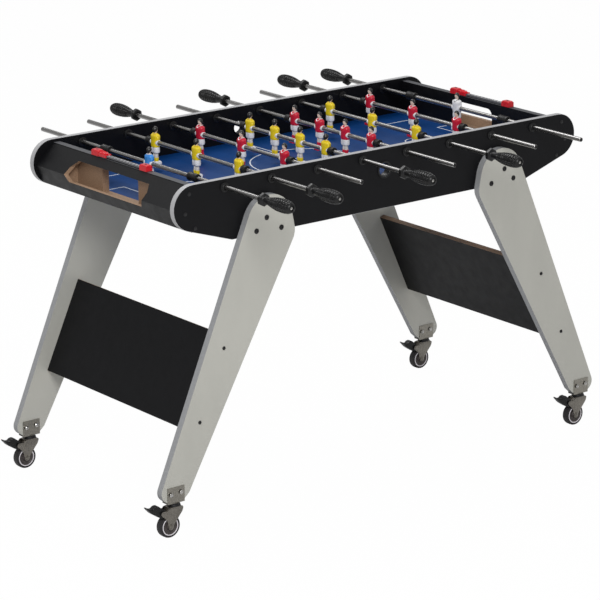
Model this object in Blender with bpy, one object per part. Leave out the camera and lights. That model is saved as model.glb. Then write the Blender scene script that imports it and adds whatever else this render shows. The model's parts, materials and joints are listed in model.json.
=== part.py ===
"""Foosball table: a boat-shaped cabinet on four splayed legs with swivel casters.

X runs along the table, Y across it along the rods, and Z is up from the floor.
The pitch centre is the middle of the "table" empty, and every length is in metres.
"""
import math

import bmesh
import bpy
from mathutils import Matrix, Vector

# Driving sizes ------------------------------------------------------------
GAP = 0.0003               # between pieces that touch
TABLE_X = 0.0217           # moves the pitch centre so the whole table is centred on the origin

PANEL_TOP = 0.914          # height of the table; the drops below are measured down from it
PANEL_HEIGHT = 0.162
PANEL_THICKNESS = 0.016
END_ROOM = 0.085           # from the end walls' inner faces to the panels' tips
END_RADIUS = 0.060         # of the panels' round ends
KEEL_SLOPE = math.radians(18.0)

ROD_PITCH = 0.150          # between neighbouring rods
ROD_DROP = 0.021           # from the panels' top to the rods' centres
ROD_RADIUS = 0.006
ROD_SIDES = 10
ROD_CLEARANCE = 0.0003     # radial, from the rod to what it turns in
ROD_PAST_PANEL = 0.180     # from the panel's outer face to the rod's plain end
BUSH_FLANGE_RADIUS = 0.0125
BUSH_FLANGE_THICKNESS = 0.003

FIELD_HALF_WIDTH = 0.314
FIELD_DROP = 0.100
FIELD_THICKNESS = 0.009
GOALIE_TO_WALL = 0.073     # from the outermost rods to the end walls
BRACE_HALF_WIDTH = 0.022
BRACE_DEPTH = 0.022

BALL_HOLE_DROP = 0.058
BALL_HOLE_RADIUS = 0.0185
BALL_RING_WIDTH = 0.0045
BALL_RING_PROUD = 0.002
BALL_RING_DEPTH = 0.010    # how far the ring reaches into the panel

WALL_THICKNESS = 0.020
WALL_DROP = 0.008
WALL_BELOW_FIELD = 0.028   # from the pitch down to the wall's lower edge
GOAL_HALF_WIDTH = 0.082
GOAL_HEIGHT = 0.074
GOAL_CORNER_RADIUS = 0.020

APRON_THICKNESS = 0.011
APRON_STEP = 0.002         # from the end wall's top down to the apron's top
CREASE_INSET = 0.007       # from the panels' tips to the apron's crease
CREASE_DROP = 0.062
APRON_FOOT_INSET = 0.028   # from the panels' tips to the apron's lower edge
APRON_FOOT_DROP = 0.112
HATCH_HALF_WIDTH = 0.178   # opening in the apron
HATCH_TOP_HALF_WIDTH = 0.160
HATCH_FOOT_HALF_WIDTH = 0.166
HATCH_TOP_DROP = 0.028
HATCH_FOOT_DROP = 0.0815
HATCH_SHOULDER = (0.002, 0.016)        # in from the side and down from the top
TRAY_THICKNESS = 0.010

LEG_THICKNESS = 0.020
LEG_SPREAD = 0.313         # from the head's centre out to the caster's axis
LEG_HEAD_DROP = 0.130
LEG_HEAD_RADIUS = 0.073
LEG_CHEEK = (0.030, 0.032)             # in and down from the head to the smaller round
LEG_CHEEK_RADIUS = 0.050
LEG_FOOT_INNER = 0.043                 # from the caster's axis to the foot's inner side
LEG_FOOT_OUTER = 0.044
LEG_FOOT_FLAT = 0.024                  # half width of the foot's flat end
LEG_FOOT_RISE = 0.017                  # height of the chamfer on the foot's inner side
LEG_FOOT_RADIUS = 0.026                # of the round on its outer side
LEG_FOOT_ROUND_LIFT = 0.028            # from the foot up to that round's centre

STRETCHER_FROM_HEAD = 0.312            # along the leg, from the head's centre
STRETCHER_WIDTH = 0.264
STRETCHER_OFFSET = 0.011               # outwards from the leg's middle line
STRETCHER_THICKNESS = 0.015

CASTER_PAST_TIP = 0.026    # from the panels' tips out to the casters' axes
WHEEL_RADIUS = 0.031
WHEEL_HALF_WIDTH = 0.0105
WHEEL_SIDES = 16
WHEEL_SHOULDER = 0.0019    # how far the tread's edges drop
TREAD_EDGE = 0.004
WHEEL_TRAIL = 0.0185
WHEEL_SIDE_GAP = 0.001     # from the hub to the fork's arm
HUB_RADIUS = 0.010
HUB_PROUD = 0.001
AXLE_RADIUS = 0.004
RUNNING_GAP = 0.0006
FORK_PLATE = 0.0020
FORK_OVER_WHEEL = 0.021
FORK_FRONT = 0.017         # from the caster's axis to the fork's front edge
FORK_REAR = 0.022
EAR_HALF_HEIGHT = 0.006    # of the fork's ears round the pedal's pin
PIN_PROUD = 0.0015
PIN_SIDES = 10
RACE_RADIUS = 0.0150
RACE_HEIGHT = 0.0084
KINGPIN_RADIUS = 0.0045
KINGPIN_HEAD = (0.0025, 0.003)         # how far the head stands out, and its height
CLEVIS_PLATE = 0.0020
CLEVIS_HALF_WIDTH = 0.0265
CLEVIS_HEIGHT = 0.0433
PEDAL_SIDE_GAP = 0.003
PEDAL_PIN_FROM_TREAD = 0.0158
PEDAL_PIN_ANGLE = math.radians(120.0)  # round the wheel, from its front
PEDAL_PIN_RADIUS = 0.0025

MAN_HALF_WIDTH = 0.0165
RING_LENGTH = 0.018
RING_RADIUS = 0.0118
GOALIE_RING_LENGTH = 0.036
GOALIE_RING_CENTRE = 0.198
THREE_SPACING = 0.188
FOUR_SPACING = 0.112
RING_TO_MAN = 0.0008

HANDLE_PAST_PANEL = 0.156  # from the panel's outer face to the handle's collar
HANDLE_LENGTH = 0.124
HANDLE_BORE_DEPTH = 0.095
HANDLE_COLLAR_RADIUS = 0.0172

SCORER_HALF_LENGTH = 0.125
SCORER_OFF_CENTRE = {"left": 0.007, "right": -0.026}
SCORER_LIFT = 0.0030       # of the bar over the end wall
SCORER_BAR_WIDTH = 0.0130
SCORER_BAR_THICKNESS = 0.0040
SCORER_BAR_TUCK = 0.005    # from the blocks' outer ends to the bar's
SCORER_BRACKET = (0.020, 0.030, 0.0130)
SLIDER_LENGTH = 0.034
SLIDER_WALL = 0.0022
SLIDER_LIP = (0.0020, 0.0015)          # how far it reaches under the bar, and its thickness
SLIDER_REST_GAP = 0.001    # from the slider to the block at rest

# Men on each rod, their shirts' side, the handle's side and how far the rod stands off centre.
RODS = [
    dict(men=1, facing=+1, handle=-1, shift=0.000),
    dict(men=3, facing=+1, handle=-1, shift=-0.003),
    dict(men=3, facing=-1, handle=+1, shift=-0.003),
    dict(men=4, facing=+1, handle=-1, shift=-0.008),
    dict(men=4, facing=-1, handle=+1, shift=-0.016),
    dict(men=3, facing=+1, handle=-1, shift=-0.005),
    dict(men=3, facing=-1, handle=+1, shift=0.000),
    dict(men=1, facing=-1, handle=+1, shift=-0.016),
]

# Worked-out places --------------------------------------------------------
ROD_COUNT = len(RODS)
FIELD_HALF_LENGTH = ROD_PITCH * (ROD_COUNT - 1) / 2 + GOALIE_TO_WALL
HALF_LENGTH = FIELD_HALF_LENGTH + END_ROOM
WALL_OUTER_X = FIELD_HALF_LENGTH + WALL_THICKNESS
PANEL_OUTER_Y = FIELD_HALF_WIDTH + PANEL_THICKNESS
LEG_INNER_Y = PANEL_OUTER_Y + GAP
LEG_OUTER_Y = LEG_INNER_Y + LEG_THICKNESS
CASTER_X = HALF_LENGTH + CASTER_PAST_TIP
CASTER_Y = (LEG_INNER_Y + LEG_OUTER_Y) / 2
ROD_PLAIN_END = PANEL_OUTER_Y + ROD_PAST_PANEL
HANDLE_START = PANEL_OUTER_Y + HANDLE_PAST_PANEL

PANEL_BOTTOM = PANEL_TOP - PANEL_HEIGHT
ROD_Z = PANEL_TOP - ROD_DROP
FIELD_TOP = PANEL_TOP - FIELD_DROP
FIELD_UNDERSIDE = FIELD_TOP - FIELD_THICKNESS
BALL_HOLE_Z = PANEL_TOP - BALL_HOLE_DROP
WALL_TOP = PANEL_TOP - WALL_DROP
WALL_BOTTOM = FIELD_TOP - WALL_BELOW_FIELD
GOAL_TOP = FIELD_TOP + GOAL_HEIGHT
CREASE_Z = PANEL_TOP - CREASE_DROP
APRON_FOOT_Z = PANEL_TOP - APRON_FOOT_DROP
HATCH_TOP = PANEL_TOP - HATCH_TOP_DROP
HATCH_FOOT = PANEL_TOP - HATCH_FOOT_DROP

WHEEL_Z = WHEEL_RADIUS
FORK_TOP = 2 * WHEEL_RADIUS + FORK_OVER_WHEEL
FORK_HALF_WIDTH = WHEEL_HALF_WIDTH + HUB_PROUD + WHEEL_SIDE_GAP + FORK_PLATE
PEDAL_HALF_WIDTH = FORK_HALF_WIDTH - FORK_PLATE - PEDAL_SIDE_GAP
PEDAL_PIN_REACH = WHEEL_RADIUS + PEDAL_PIN_FROM_TREAD
PEDAL_PIN_X = PEDAL_PIN_REACH * math.cos(PEDAL_PIN_ANGLE) - WHEEL_TRAIL
PEDAL_PIN_Z = PEDAL_PIN_REACH * math.sin(PEDAL_PIN_ANGLE) + WHEEL_Z
CLEVIS_FLOOR = FORK_TOP + GAP + RACE_HEIGHT
CLEVIS_TOP = CLEVIS_FLOOR + CLEVIS_HEIGHT
LEG_FOOT_Z = CLEVIS_FLOOR + CLEVIS_PLATE + GAP
LEG_HEAD = (CASTER_X - LEG_SPREAD, PANEL_TOP - LEG_HEAD_DROP)

# Materials ----------------------------------------------------------------


def finish(name, colour, roughness, metallic=0.0):
    """A Principled material of one colour."""
    material = bpy.data.materials.new(name)
    material.use_nodes = True
    shader = material.node_tree.nodes["Principled BSDF"]
    shader.inputs["Base Color"].default_value = (*colour, 1.0)
    shader.inputs["Roughness"].default_value = roughness
    shader.inputs["Metallic"].default_value = metallic
    return material


def all_finishes():
    return {
        "black_board": finish("black_board", (0.018, 0.019, 0.022), 0.55),
        "raw_board": finish("raw_board", (0.23, 0.13, 0.07), 0.85),
        "blue_field": finish("blue_field", (0.01, 0.07, 0.24), 0.35),
        "leg_board": finish("leg_board", (0.46, 0.45, 0.42), 0.60),
        "chrome_tube": finish("chrome_tube", (0.62, 0.61, 0.60), 0.15, 1.0),
        "black_plastic": finish("black_plastic", (0.015, 0.015, 0.016), 0.40),
        "rubber": finish("rubber", (0.02, 0.02, 0.02), 0.75),
        "tyre": finish("tyre", (0.03, 0.03, 0.032), 0.70),
        "steel": finish("steel", (0.50, 0.48, 0.45), 0.30, 1.0),
        "red_plastic": finish("red_plastic", (0.60, 0.01, 0.02), 0.35),
    }


# Mesh building blocks -------------------------------------------------------


def add_box(bm, low, high):
    """A box between two corners."""
    size = [h - l for l, h in zip(low, high)]
    middle = [(h + l) / 2 for l, h in zip(low, high)]
    place = Matrix.Translation(middle) @ Matrix.Diagonal((*size, 1.0))
    bmesh.ops.create_cube(bm, size=1.0, matrix=place)


def add_prism(bm, outline, start, end, axis="Y"):
    """An outline of (a, b) points carried straight along an axis.

    The outline lies in XZ for axis Y, in XY for axis Z and in YZ for axis X.
    """
    def point(a, b, along):
        if axis == "Y":
            return (a, along, b)
        if axis == "Z":
            return (a, b, along)
        return (along, a, b)

    first = [bm.verts.new(point(a, b, start)) for a, b in outline]
    last = [bm.verts.new(point(a, b, end)) for a, b in outline]
    bm.faces.new(first)
    bm.faces.new(reversed(last))
    for i in range(len(outline)):
        j = (i + 1) % len(outline)
        bm.faces.new((first[i], last[i], last[j], first[j]))


def add_turned(bm, profile, centre, axis="Y", sides=16, turn=0.0):
    """A closed profile of (distance along the axis, radius) points, turned about the axis.

    A profile that starts and ends at radius 0 gives a solid, and one that never meets
    the axis gives a ring.
    """
    directions = {"X": (1, 2, 0), "Y": (2, 0, 1), "Z": (0, 1, 2)}[axis]

    def point(along, radius, angle):
        place = [0.0, 0.0, 0.0]
        place[directions[0]] = radius * math.cos(angle)
        place[directions[1]] = radius * math.sin(angle)
        place[directions[2]] = along
        return Vector(place) + Vector(centre)

    rings = []
    for along, radius in profile:
        if radius == 0.0:
            rings.append([bm.verts.new(point(along, 0.0, 0.0))] * sides)
        else:
            angles = [turn + 2 * math.pi * k / sides for k in range(sides)]
            rings.append([bm.verts.new(point(along, radius, angle)) for angle in angles])
    closed = profile[0][1] != 0.0
    last = len(profile) if closed else len(profile) - 1
    for i in range(last):
        low, high = rings[i], rings[(i + 1) % len(profile)]
        for k in range(sides):
            m = (k + 1) % sides
            corners = []
            for vert in (low[k], low[m], high[m], high[k]):
                if vert not in corners:
                    corners.append(vert)
            bm.faces.new(corners)


def add_loft(bm, sections):
    """Rounded rectangles, one above another, skinned into one solid.

    Each section is (x, y, z, half depth along x, half width along y).
    """
    corner = 0.45
    rings = []
    for x, y, z, depth, width in sections:
        loop = [(1, -corner), (1, corner), (corner, 1), (-corner, 1),
                (-1, corner), (-1, -corner), (-corner, -1), (corner, -1)]
        rings.append([bm.verts.new((x + a * depth, y + b * width, z)) for a, b in loop])
    bm.faces.new(reversed(rings[0]))
    bm.faces.new(rings[-1])
    for low, high in zip(rings, rings[1:]):
        for k in range(8):
            m = (k + 1) % 8
            bm.faces.new((low[k], low[m], high[m], high[k]))


def arc(x, z, radius, start, end, steps):
    """Points on a round stretch, with its angles in degrees from +X towards +Z."""
    angles = [math.radians(start + (end - start) * k / steps) for k in range(steps + 1)]
    return [(x + radius * math.cos(a), z + radius * math.sin(a)) for a in angles]


def hull(points):
    """The outline of the smallest convex shape round the points, anticlockwise."""
    ordered = sorted(set(points))

    def half(sequence):
        chain = []
        for p in sequence:
            while len(chain) > 1:
                (ax, az), (bx, bz) = chain[-2], chain[-1]
                if (bx - ax) * (p[1] - az) - (bz - az) * (p[0] - ax) > 1e-12:
                    break
                chain.pop()
            chain.append(p)
        return chain[:-1]

    return half(ordered) + half(reversed(ordered))


# Objects ----------------------------------------------------------------------


class Bench:
    """Makes objects, joins helpers to them and cuts helpers out of them."""

    def __init__(self):
        self.finishes = all_finishes()
        self.table = self.empty("table", (TABLE_X, 0.0, 0.0))

    def empty(self, name, location, parent=None):
        holder = bpy.data.objects.new(name, None)
        holder.location = location
        holder.parent = parent
        bpy.context.scene.collection.objects.link(holder)
        return holder

    def solid(self, name, bm, finish_name, origin=(0.0, 0.0, 0.0), smooth=None):
        """An object whose mesh was built in the table's frame, with its origin where it pivots."""
        bmesh.ops.recalc_face_normals(bm, faces=bm.faces)
        bmesh.ops.translate(bm, verts=bm.verts, vec=[-c for c in origin])
        mesh = bpy.data.meshes.new(name)
        bm.to_mesh(mesh)
        bm.free()
        if smooth:
            mesh.shade_smooth()
            mesh.set_sharp_from_angle(angle=math.radians(smooth))
        made = bpy.data.objects.new(name, mesh)
        made.location = origin
        made.parent = self.table
        if finish_name:
            mesh.materials.append(self.finishes[finish_name])
        bpy.context.scene.collection.objects.link(made)
        return made

    def helper(self, target, bm, operation):
        """Joins or cuts a hidden shape, built in the table's frame."""
        number = len(target.modifiers)
        tool = self.solid(f"{target.name}.tool{number}", bm, None)
        tool.hide_render = True
        tool.display_type = "WIRE"
        step = target.modifiers.new(f"{operation.lower()}{number}", "BOOLEAN")
        step.operation = operation
        step.object = tool
        step.solver = "EXACT"
        return target

    def join(self, target, bm):
        return self.helper(target, bm, "UNION")

    def cut(self, target, bm):
        return self.helper(target, bm, "DIFFERENCE")


def rod_x(index):
    return (index - (ROD_COUNT - 1) / 2) * ROD_PITCH


def clear_of(radius, clearance, sides):
    """The corner radius of a faceted bore whose flats stay clear of a round pin."""
    return (radius + clearance) / math.cos(math.pi / sides)


def pin_profile(low, high, radius):
    """A plain solid round from low to high along its axis."""
    return [(low, 0.0), (low, radius), (high, radius), (high, 0.0)]


BORE_RADIUS = clear_of(ROD_RADIUS, ROD_CLEARANCE, ROD_SIDES)


# Cabinet ----------------------------------------------------------------------


def panel_outline():
    """Straight top, round ends, and a keel that slopes up from the flat bottom to the ends."""
    centre_x = HALF_LENGTH - END_RADIUS
    centre_z = PANEL_TOP - END_RADIUS
    slope = math.degrees(KEEL_SLOPE)
    right = arc(centre_x, centre_z, END_RADIUS, slope - 90.0, 90.0, 14)
    leave_x, leave_z = right[0]
    keel_x = leave_x - (leave_z - PANEL_BOTTOM) / math.tan(KEEL_SLOPE)
    right = [(keel_x, PANEL_BOTTOM)] + right
    return right + [(-x, z) for x, z in reversed(right)]


def side_panel(bench, name, side):
    """One long board with its eight rod bushes and the ball's entry ring."""
    inner, outer = side * FIELD_HALF_WIDTH, side * PANEL_OUTER_Y
    bm = bmesh.new()
    add_prism(bm, panel_outline(), inner, outer)
    panel = bench.solid(name, bm, "black_board")
    collars = bmesh.new()
    bores = bmesh.new()
    proud = BUSH_FLANGE_THICKNESS
    low, high = sorted((inner - side * proud, outer + side * proud))
    for index in range(ROD_COUNT):
        centre = (rod_x(index), 0.0, ROD_Z)
        add_turned(collars, pin_profile(low, high, BUSH_FLANGE_RADIUS), centre, sides=12)
        add_turned(bores, pin_profile(low - proud, high + proud, BORE_RADIUS), centre, sides=ROD_SIDES)
    centre = (0.0, 0.0, BALL_HOLE_Z)
    low, high = sorted((outer - side * BALL_RING_DEPTH, outer + side * BALL_RING_PROUD))
    rim = BALL_HOLE_RADIUS + BALL_RING_WIDTH
    add_turned(collars, pin_profile(low, high, rim), centre, sides=20)
    low, high = sorted((inner - side * BALL_RING_PROUD, outer + side * 2 * BALL_RING_PROUD))
    add_turned(bores, pin_profile(low, high, BALL_HOLE_RADIUS), centre, sides=20)
    bench.join(panel, collars)
    bench.cut(panel, bores)


def playfield(bench):
    bm = bmesh.new()
    half = (FIELD_HALF_LENGTH - GAP, FIELD_HALF_WIDTH - GAP)
    add_box(bm, (-half[0], -half[1], FIELD_UNDERSIDE), (half[0], half[1], FIELD_TOP))
    bench.solid("playfield", bm, "blue_field")
    bm = bmesh.new()
    top = FIELD_UNDERSIDE - GAP
    add_box(bm, (-BRACE_HALF_WIDTH, -half[1], top - BRACE_DEPTH), (BRACE_HALF_WIDTH, half[1], top))
    bench.solid("playfield_brace", bm, "raw_board")


def end_wall(bench, name, end):
    """The board behind the goal line, with the goal mouth cut out above the pitch."""
    width = FIELD_HALF_WIDTH - GAP
    low, high = sorted((end * FIELD_HALF_LENGTH, end * WALL_OUTER_X))
    bm = bmesh.new()
    add_box(bm, (low, -width, WALL_BOTTOM), (high, width, WALL_TOP))
    wall = bench.solid(name, bm, "black_board")
    r = GOAL_CORNER_RADIUS
    right = [(GOAL_HALF_WIDTH, FIELD_TOP)] + arc(GOAL_HALF_WIDTH - r, GOAL_TOP - r, r, 0, 90, 5)
    mouth = right + [(-y, z) for y, z in reversed(right)]
    bm = bmesh.new()
    add_prism(bm, mouth, low - WALL_THICKNESS, high + WALL_THICKNESS, axis="X")
    bench.cut(wall, bm)


def apron_profile():
    """The bent board's outer corners from its top edge to its foot, then the inner ones back."""
    top = (WALL_OUTER_X + GAP, WALL_TOP - APRON_STEP)
    crease = (HALF_LENGTH - CREASE_INSET, CREASE_Z)
    foot = (HALF_LENGTH - APRON_FOOT_INSET, APRON_FOOT_Z)

    def inward(a, b):
        length = math.dist(a, b)
        return (b[1] - a[1]) / length * APRON_THICKNESS, -(b[0] - a[0]) / length * APRON_THICKNESS

    upper, lower = inward(top, crease), inward(crease, foot)
    # The two inner faces meet on the line that halves the crease.
    half = math.atan2(upper[0] * lower[1] - upper[1] * lower[0],
                      upper[0] * lower[0] + upper[1] * lower[1]) / 2
    middle = Vector((upper[0] + lower[0], upper[1] + lower[1])).normalized()
    reach = APRON_THICKNESS / math.cos(half)
    inner_crease = (crease[0] + middle.x * reach, crease[1] + middle.y * reach)
    # The top edge is cut upright against the wall, and the foot is cut level.
    slope = (crease[1] - top[1]) / (crease[0] - top[0])
    inner_top = (top[0], inner_crease[1] + slope * (top[0] - inner_crease[0]))
    lean = (foot[0] - crease[0]) / (foot[1] - crease[1])
    inner_foot = (inner_crease[0] + lean * (foot[1] - inner_crease[1]), foot[1])
    return [top, crease, foot, inner_foot, inner_crease, inner_top]


def end_apron(bench, name, end):
    """The bent board round the end, with the hatch that the ball is taken out of."""
    profile = [(end * x, z) for x, z in apron_profile()]
    width = FIELD_HALF_WIDTH - GAP
    bm = bmesh.new()
    add_prism(bm, profile, -width, width)
    apron = bench.solid(name, bm, "black_board")
    top = (HATCH_TOP_HALF_WIDTH, HATCH_TOP)
    waist = (HATCH_HALF_WIDTH, CREASE_Z)
    shoulder = (HATCH_HALF_WIDTH - HATCH_SHOULDER[0], HATCH_TOP - HATCH_SHOULDER[1])
    foot = (HATCH_FOOT_HALF_WIDTH, HATCH_FOOT)
    right = [foot, waist, shoulder, top]
    hatch = right + [(-y, z) for y, z in reversed(right)]
    low, high = sorted((end * (WALL_OUTER_X + 2 * GAP), end * (HALF_LENGTH + APRON_THICKNESS)))
    bm = bmesh.new()
    add_prism(bm, hatch, low, high, axis="X")
    bench.cut(apron, bm)


def goal_tray(bench, name, end):
    """The shelf between the end wall and the apron's foot that catches the ball."""
    width = FIELD_HALF_WIDTH - GAP
    inner_foot_x = apron_profile()[3][0]
    low, high = sorted((end * (WALL_OUTER_X + GAP), end * (inner_foot_x - GAP)))
    bm = bmesh.new()
    add_box(bm, (low, -width, APRON_FOOT_Z), (high, width, APRON_FOOT_Z + TRAY_THICKNESS))
    bench.solid(name, bm, "raw_board")


# Legs -------------------------------------------------------------------------


def leg_outline():
    """A round head with a smaller cheek, tapering to a foot with a chamfer and a round."""
    x, z = LEG_HEAD
    points = arc(x, z, LEG_HEAD_RADIUS, 0, 354, 59)
    points += arc(x - LEG_CHEEK[0], z - LEG_CHEEK[1], LEG_CHEEK_RADIUS, 150, 240, 9)
    points += arc(CASTER_X + LEG_FOOT_OUTER - LEG_FOOT_RADIUS, LEG_FOOT_Z + LEG_FOOT_ROUND_LIFT,
                  LEG_FOOT_RADIUS, -90, 30, 12)
    points += [
        (CASTER_X - LEG_FOOT_INNER, LEG_FOOT_Z + LEG_FOOT_RISE),
        (CASTER_X - LEG_FOOT_FLAT, LEG_FOOT_Z),
        (CASTER_X + LEG_FOOT_FLAT, LEG_FOOT_Z),
    ]
    return hull(points)


def leg(bench, name, end, side):
    outline = [(end * x, z) for x, z in leg_outline()]
    low, high = sorted((side * LEG_INNER_Y, side * LEG_OUTER_Y))
    bm = bmesh.new()
    add_prism(bm, outline, low, high)
    bench.solid(name, bm, "leg_board")


def leg_stretcher(bench, name, end):
    """The board between a front leg and a back leg, leaning with them."""
    head = Vector(LEG_HEAD)
    down = (Vector((CASTER_X, LEG_FOOT_Z)) - head).normalized()
    out = Vector((-down.y, down.x))
    corners = []
    for along in (STRETCHER_FROM_HEAD, STRETCHER_FROM_HEAD + STRETCHER_WIDTH):
        for half in (-STRETCHER_THICKNESS / 2, STRETCHER_THICKNESS / 2):
            corners.append(head + down * along + out * (STRETCHER_OFFSET + half))
    first, second, fourth, third = corners
    bm = bmesh.new()
    add_prism(bm, [(end * c.x, c.y) for c in (first, second, third, fourth)],
              -PANEL_OUTER_Y, PANEL_OUTER_Y)
    bench.solid(name, bm, "black_board")


# Casters ----------------------------------------------------------------------


def caster_bracket(bench, name, x, y):
    """A steel channel that straddles the leg's foot, with the kingpin under it."""
    inner = LEG_THICKNESS / 2 + GAP
    outer = inner + CLEVIS_PLATE
    bm = bmesh.new()
    outline = [(y - outer, CLEVIS_FLOOR), (y + outer, CLEVIS_FLOOR), (y + outer, CLEVIS_TOP),
               (y + inner, CLEVIS_TOP), (y + inner, CLEVIS_FLOOR + CLEVIS_PLATE),
               (y - inner, CLEVIS_FLOOR + CLEVIS_PLATE), (y - inner, CLEVIS_TOP), (y - outer, CLEVIS_TOP)]
    add_prism(bm, outline, x - CLEVIS_HALF_WIDTH, x + CLEVIS_HALF_WIDTH, axis="X")
    bracket = bench.solid(name, bm, "steel", origin=(x, y, CLEVIS_FLOOR))
    stem = bmesh.new()
    root = CLEVIS_FLOOR + CLEVIS_PLATE / 2
    head_radius = KINGPIN_RADIUS + KINGPIN_HEAD[0]
    head_top = FORK_TOP - FORK_PLATE - GAP
    head_bottom = head_top - KINGPIN_HEAD[1]
    profile = [(root, 0.0), (root, RACE_RADIUS), (FORK_TOP + GAP, RACE_RADIUS),
               (FORK_TOP + GAP, KINGPIN_RADIUS), (head_top, KINGPIN_RADIUS),
               (head_top, head_radius), (head_bottom, head_radius), (head_bottom, 0.0)]
    add_turned(stem, profile, (x, y, 0.0), axis="Z", sides=16)
    bench.join(bracket, stem)


def caster_fork(bench, name, x, y):
    """A bent steel fork: its top plate on the kingpin, its two arms down to the axle."""
    axle_x = x - WHEEL_TRAIL
    front = x + FORK_FRONT
    ear_x = x + PEDAL_PIN_X - EAR_HALF_HEIGHT
    arm = [(front, FORK_TOP), (front + 0.002, FORK_TOP - 0.014), (axle_x + 0.011, WHEEL_Z - 0.002),
           (axle_x + 0.004, WHEEL_Z - 0.010), (axle_x - 0.005, WHEEL_Z - 0.009),
           (axle_x - 0.009, WHEEL_Z + 0.002), (ear_x, PEDAL_PIN_Z - EAR_HALF_HEIGHT),
           (ear_x, PEDAL_PIN_Z + EAR_HALF_HEIGHT), (x - FORK_REAR, FORK_TOP)]
    bm = bmesh.new()
    for side in (-1, 1):
        low, high = sorted((y + side * FORK_HALF_WIDTH, y + side * (FORK_HALF_WIDTH - FORK_PLATE)))
        add_prism(bm, arm, low, high)
    fork = bench.solid(name, bm, "steel", origin=(x, y, FORK_TOP))
    # The crown stops just short of the arms' outer faces, so that no faces coincide.
    shy = FORK_PLATE / 10
    half = FORK_HALF_WIDTH - shy
    crown = bmesh.new()
    add_box(crown, (x - FORK_REAR + shy, y - half, FORK_TOP - FORK_PLATE),
            (front - shy, y + half, FORK_TOP - shy / 2))
    bench.join(fork, crown)
    reach = FORK_HALF_WIDTH + PIN_PROUD
    pins = bmesh.new()
    add_turned(pins, pin_profile(-reach, reach, AXLE_RADIUS), (axle_x, y, WHEEL_Z), sides=PIN_SIDES)
    add_turned(pins, pin_profile(-reach, reach, PEDAL_PIN_RADIUS), (x + PEDAL_PIN_X, y, PEDAL_PIN_Z),
               sides=PIN_SIDES)
    bench.join(fork, pins)
    hole = bmesh.new()
    sides = 16
    low, high = FORK_TOP - 2 * FORK_PLATE, FORK_TOP + 2 * FORK_PLATE
    add_turned(hole, pin_profile(low, high, clear_of(KINGPIN_RADIUS, GAP, sides)), (x, y, 0.0),
               axis="Z", sides=sides)
    bench.cut(fork, hole)


def caster_wheel(bench, name, x, y):
    """A tyre on a dished hub, bored for the axle."""
    bore = clear_of(AXLE_RADIUS, RUNNING_GAP, PIN_SIDES)
    # The tread's flats, not its corners, lie on the wheel's radius, and it stands on one.
    tread = clear_of(WHEEL_RADIUS, 0.0, WHEEL_SIDES)
    shoulder = tread - WHEEL_SHOULDER
    hub = WHEEL_HALF_WIDTH + HUB_PROUD
    edge = WHEEL_HALF_WIDTH - TREAD_EDGE
    profile = [(-hub, bore), (-hub, HUB_RADIUS), (-WHEEL_HALF_WIDTH, shoulder), (-edge, tread),
               (edge, tread), (WHEEL_HALF_WIDTH, shoulder), (hub, HUB_RADIUS), (hub, bore)]
    bm = bmesh.new()
    centre = (x - WHEEL_TRAIL, y, WHEEL_Z)
    add_turned(bm, profile, centre, sides=WHEEL_SIDES, turn=math.pi / WHEEL_SIDES)
    bench.solid(name, bm, "tyre", origin=centre, smooth=35)


def caster_pedal(bench, name, x, y):
    """The brake pedal, rocking on its pin in the fork's rear ears."""
    pin = Vector((x + PEDAL_PIN_X, PEDAL_PIN_Z))
    # Round from the pin's front: over the hump, out to the toe plate, and back to the brake's shoe.
    points = [(0.009, 0.006), (0.001, 0.012), (-0.012, 0.021), (-0.020, 0.0215), (-0.028, 0.016),
              (-0.044, 0.0225), (-0.0455, 0.020), (-0.032, 0.004), (-0.016, -0.006), (-0.004, -0.0130),
              (0.0013, -0.0149), (0.006, -0.0120), (0.008, -0.004)]
    outline = [(pin.x + a, pin.y + b) for a, b in points]
    bm = bmesh.new()
    add_prism(bm, outline, y - PEDAL_HALF_WIDTH, y + PEDAL_HALF_WIDTH)
    pedal = bench.solid(name, bm, "black_plastic", origin=(pin.x, y, pin.y))
    bore = bmesh.new()
    radius = clear_of(PEDAL_PIN_RADIUS, RUNNING_GAP, PIN_SIDES)
    add_turned(bore, pin_profile(-FORK_HALF_WIDTH, FORK_HALF_WIDTH, radius), (pin.x, y, pin.y),
               sides=PIN_SIDES)
    bench.cut(pedal, bore)


def caster(bench, corner, x, y):
    caster_bracket(bench, f"caster_bracket_{corner}", x, y)
    caster_fork(bench, f"caster_fork_{corner}", x, y)
    caster_wheel(bench, f"caster_wheel_{corner}", x, y)
    caster_pedal(bench, f"caster_pedal_{corner}", x, y)


# Rods, men and handles -----------------------------------------------------------


def men_places(count):
    """Where the men stand along a rod, from its middle."""
    spacing = {1: 0.0, 3: THREE_SPACING, 4: FOUR_SPACING}[count]
    return [(k - (count - 1) / 2) * spacing for k in range(count)]


def ring_span(count):
    """Where a stop ring begins and ends, from the rod's middle."""
    if count == 1:
        return GOALIE_RING_CENTRE - GOALIE_RING_LENGTH / 2, GOALIE_RING_CENTRE + GOALIE_RING_LENGTH / 2
    start = men_places(count)[-1] + MAN_HALF_WIDTH + RING_TO_MAN
    return start, start + RING_LENGTH


def add_man(bm, x, y, facing):
    """A player on the rod: feet, legs, trunk with arms, and head."""
    # Height from the rod, half depth, half width, and how far the section stands forward.
    sections = [
        (-0.0630, 0.0105, 0.0105, 0.0045),
        (-0.0520, 0.0110, 0.0105, 0.0040),
        (-0.0450, 0.0062, 0.0095, 0.0000),
        (-0.0140, 0.0090, 0.0125, 0.0000),
        (0.0180, 0.0092, MAN_HALF_WIDTH, 0.0000),
        (0.0235, 0.0050, 0.0060, 0.0000),
        (0.0330, 0.0098, 0.0090, 0.0005),
        (0.0450, 0.0045, 0.0040, 0.0000),
    ]
    add_loft(bm, [(x + facing * forward, y, ROD_Z + z, depth, width)
                  for z, depth, width, forward in sections])


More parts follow.
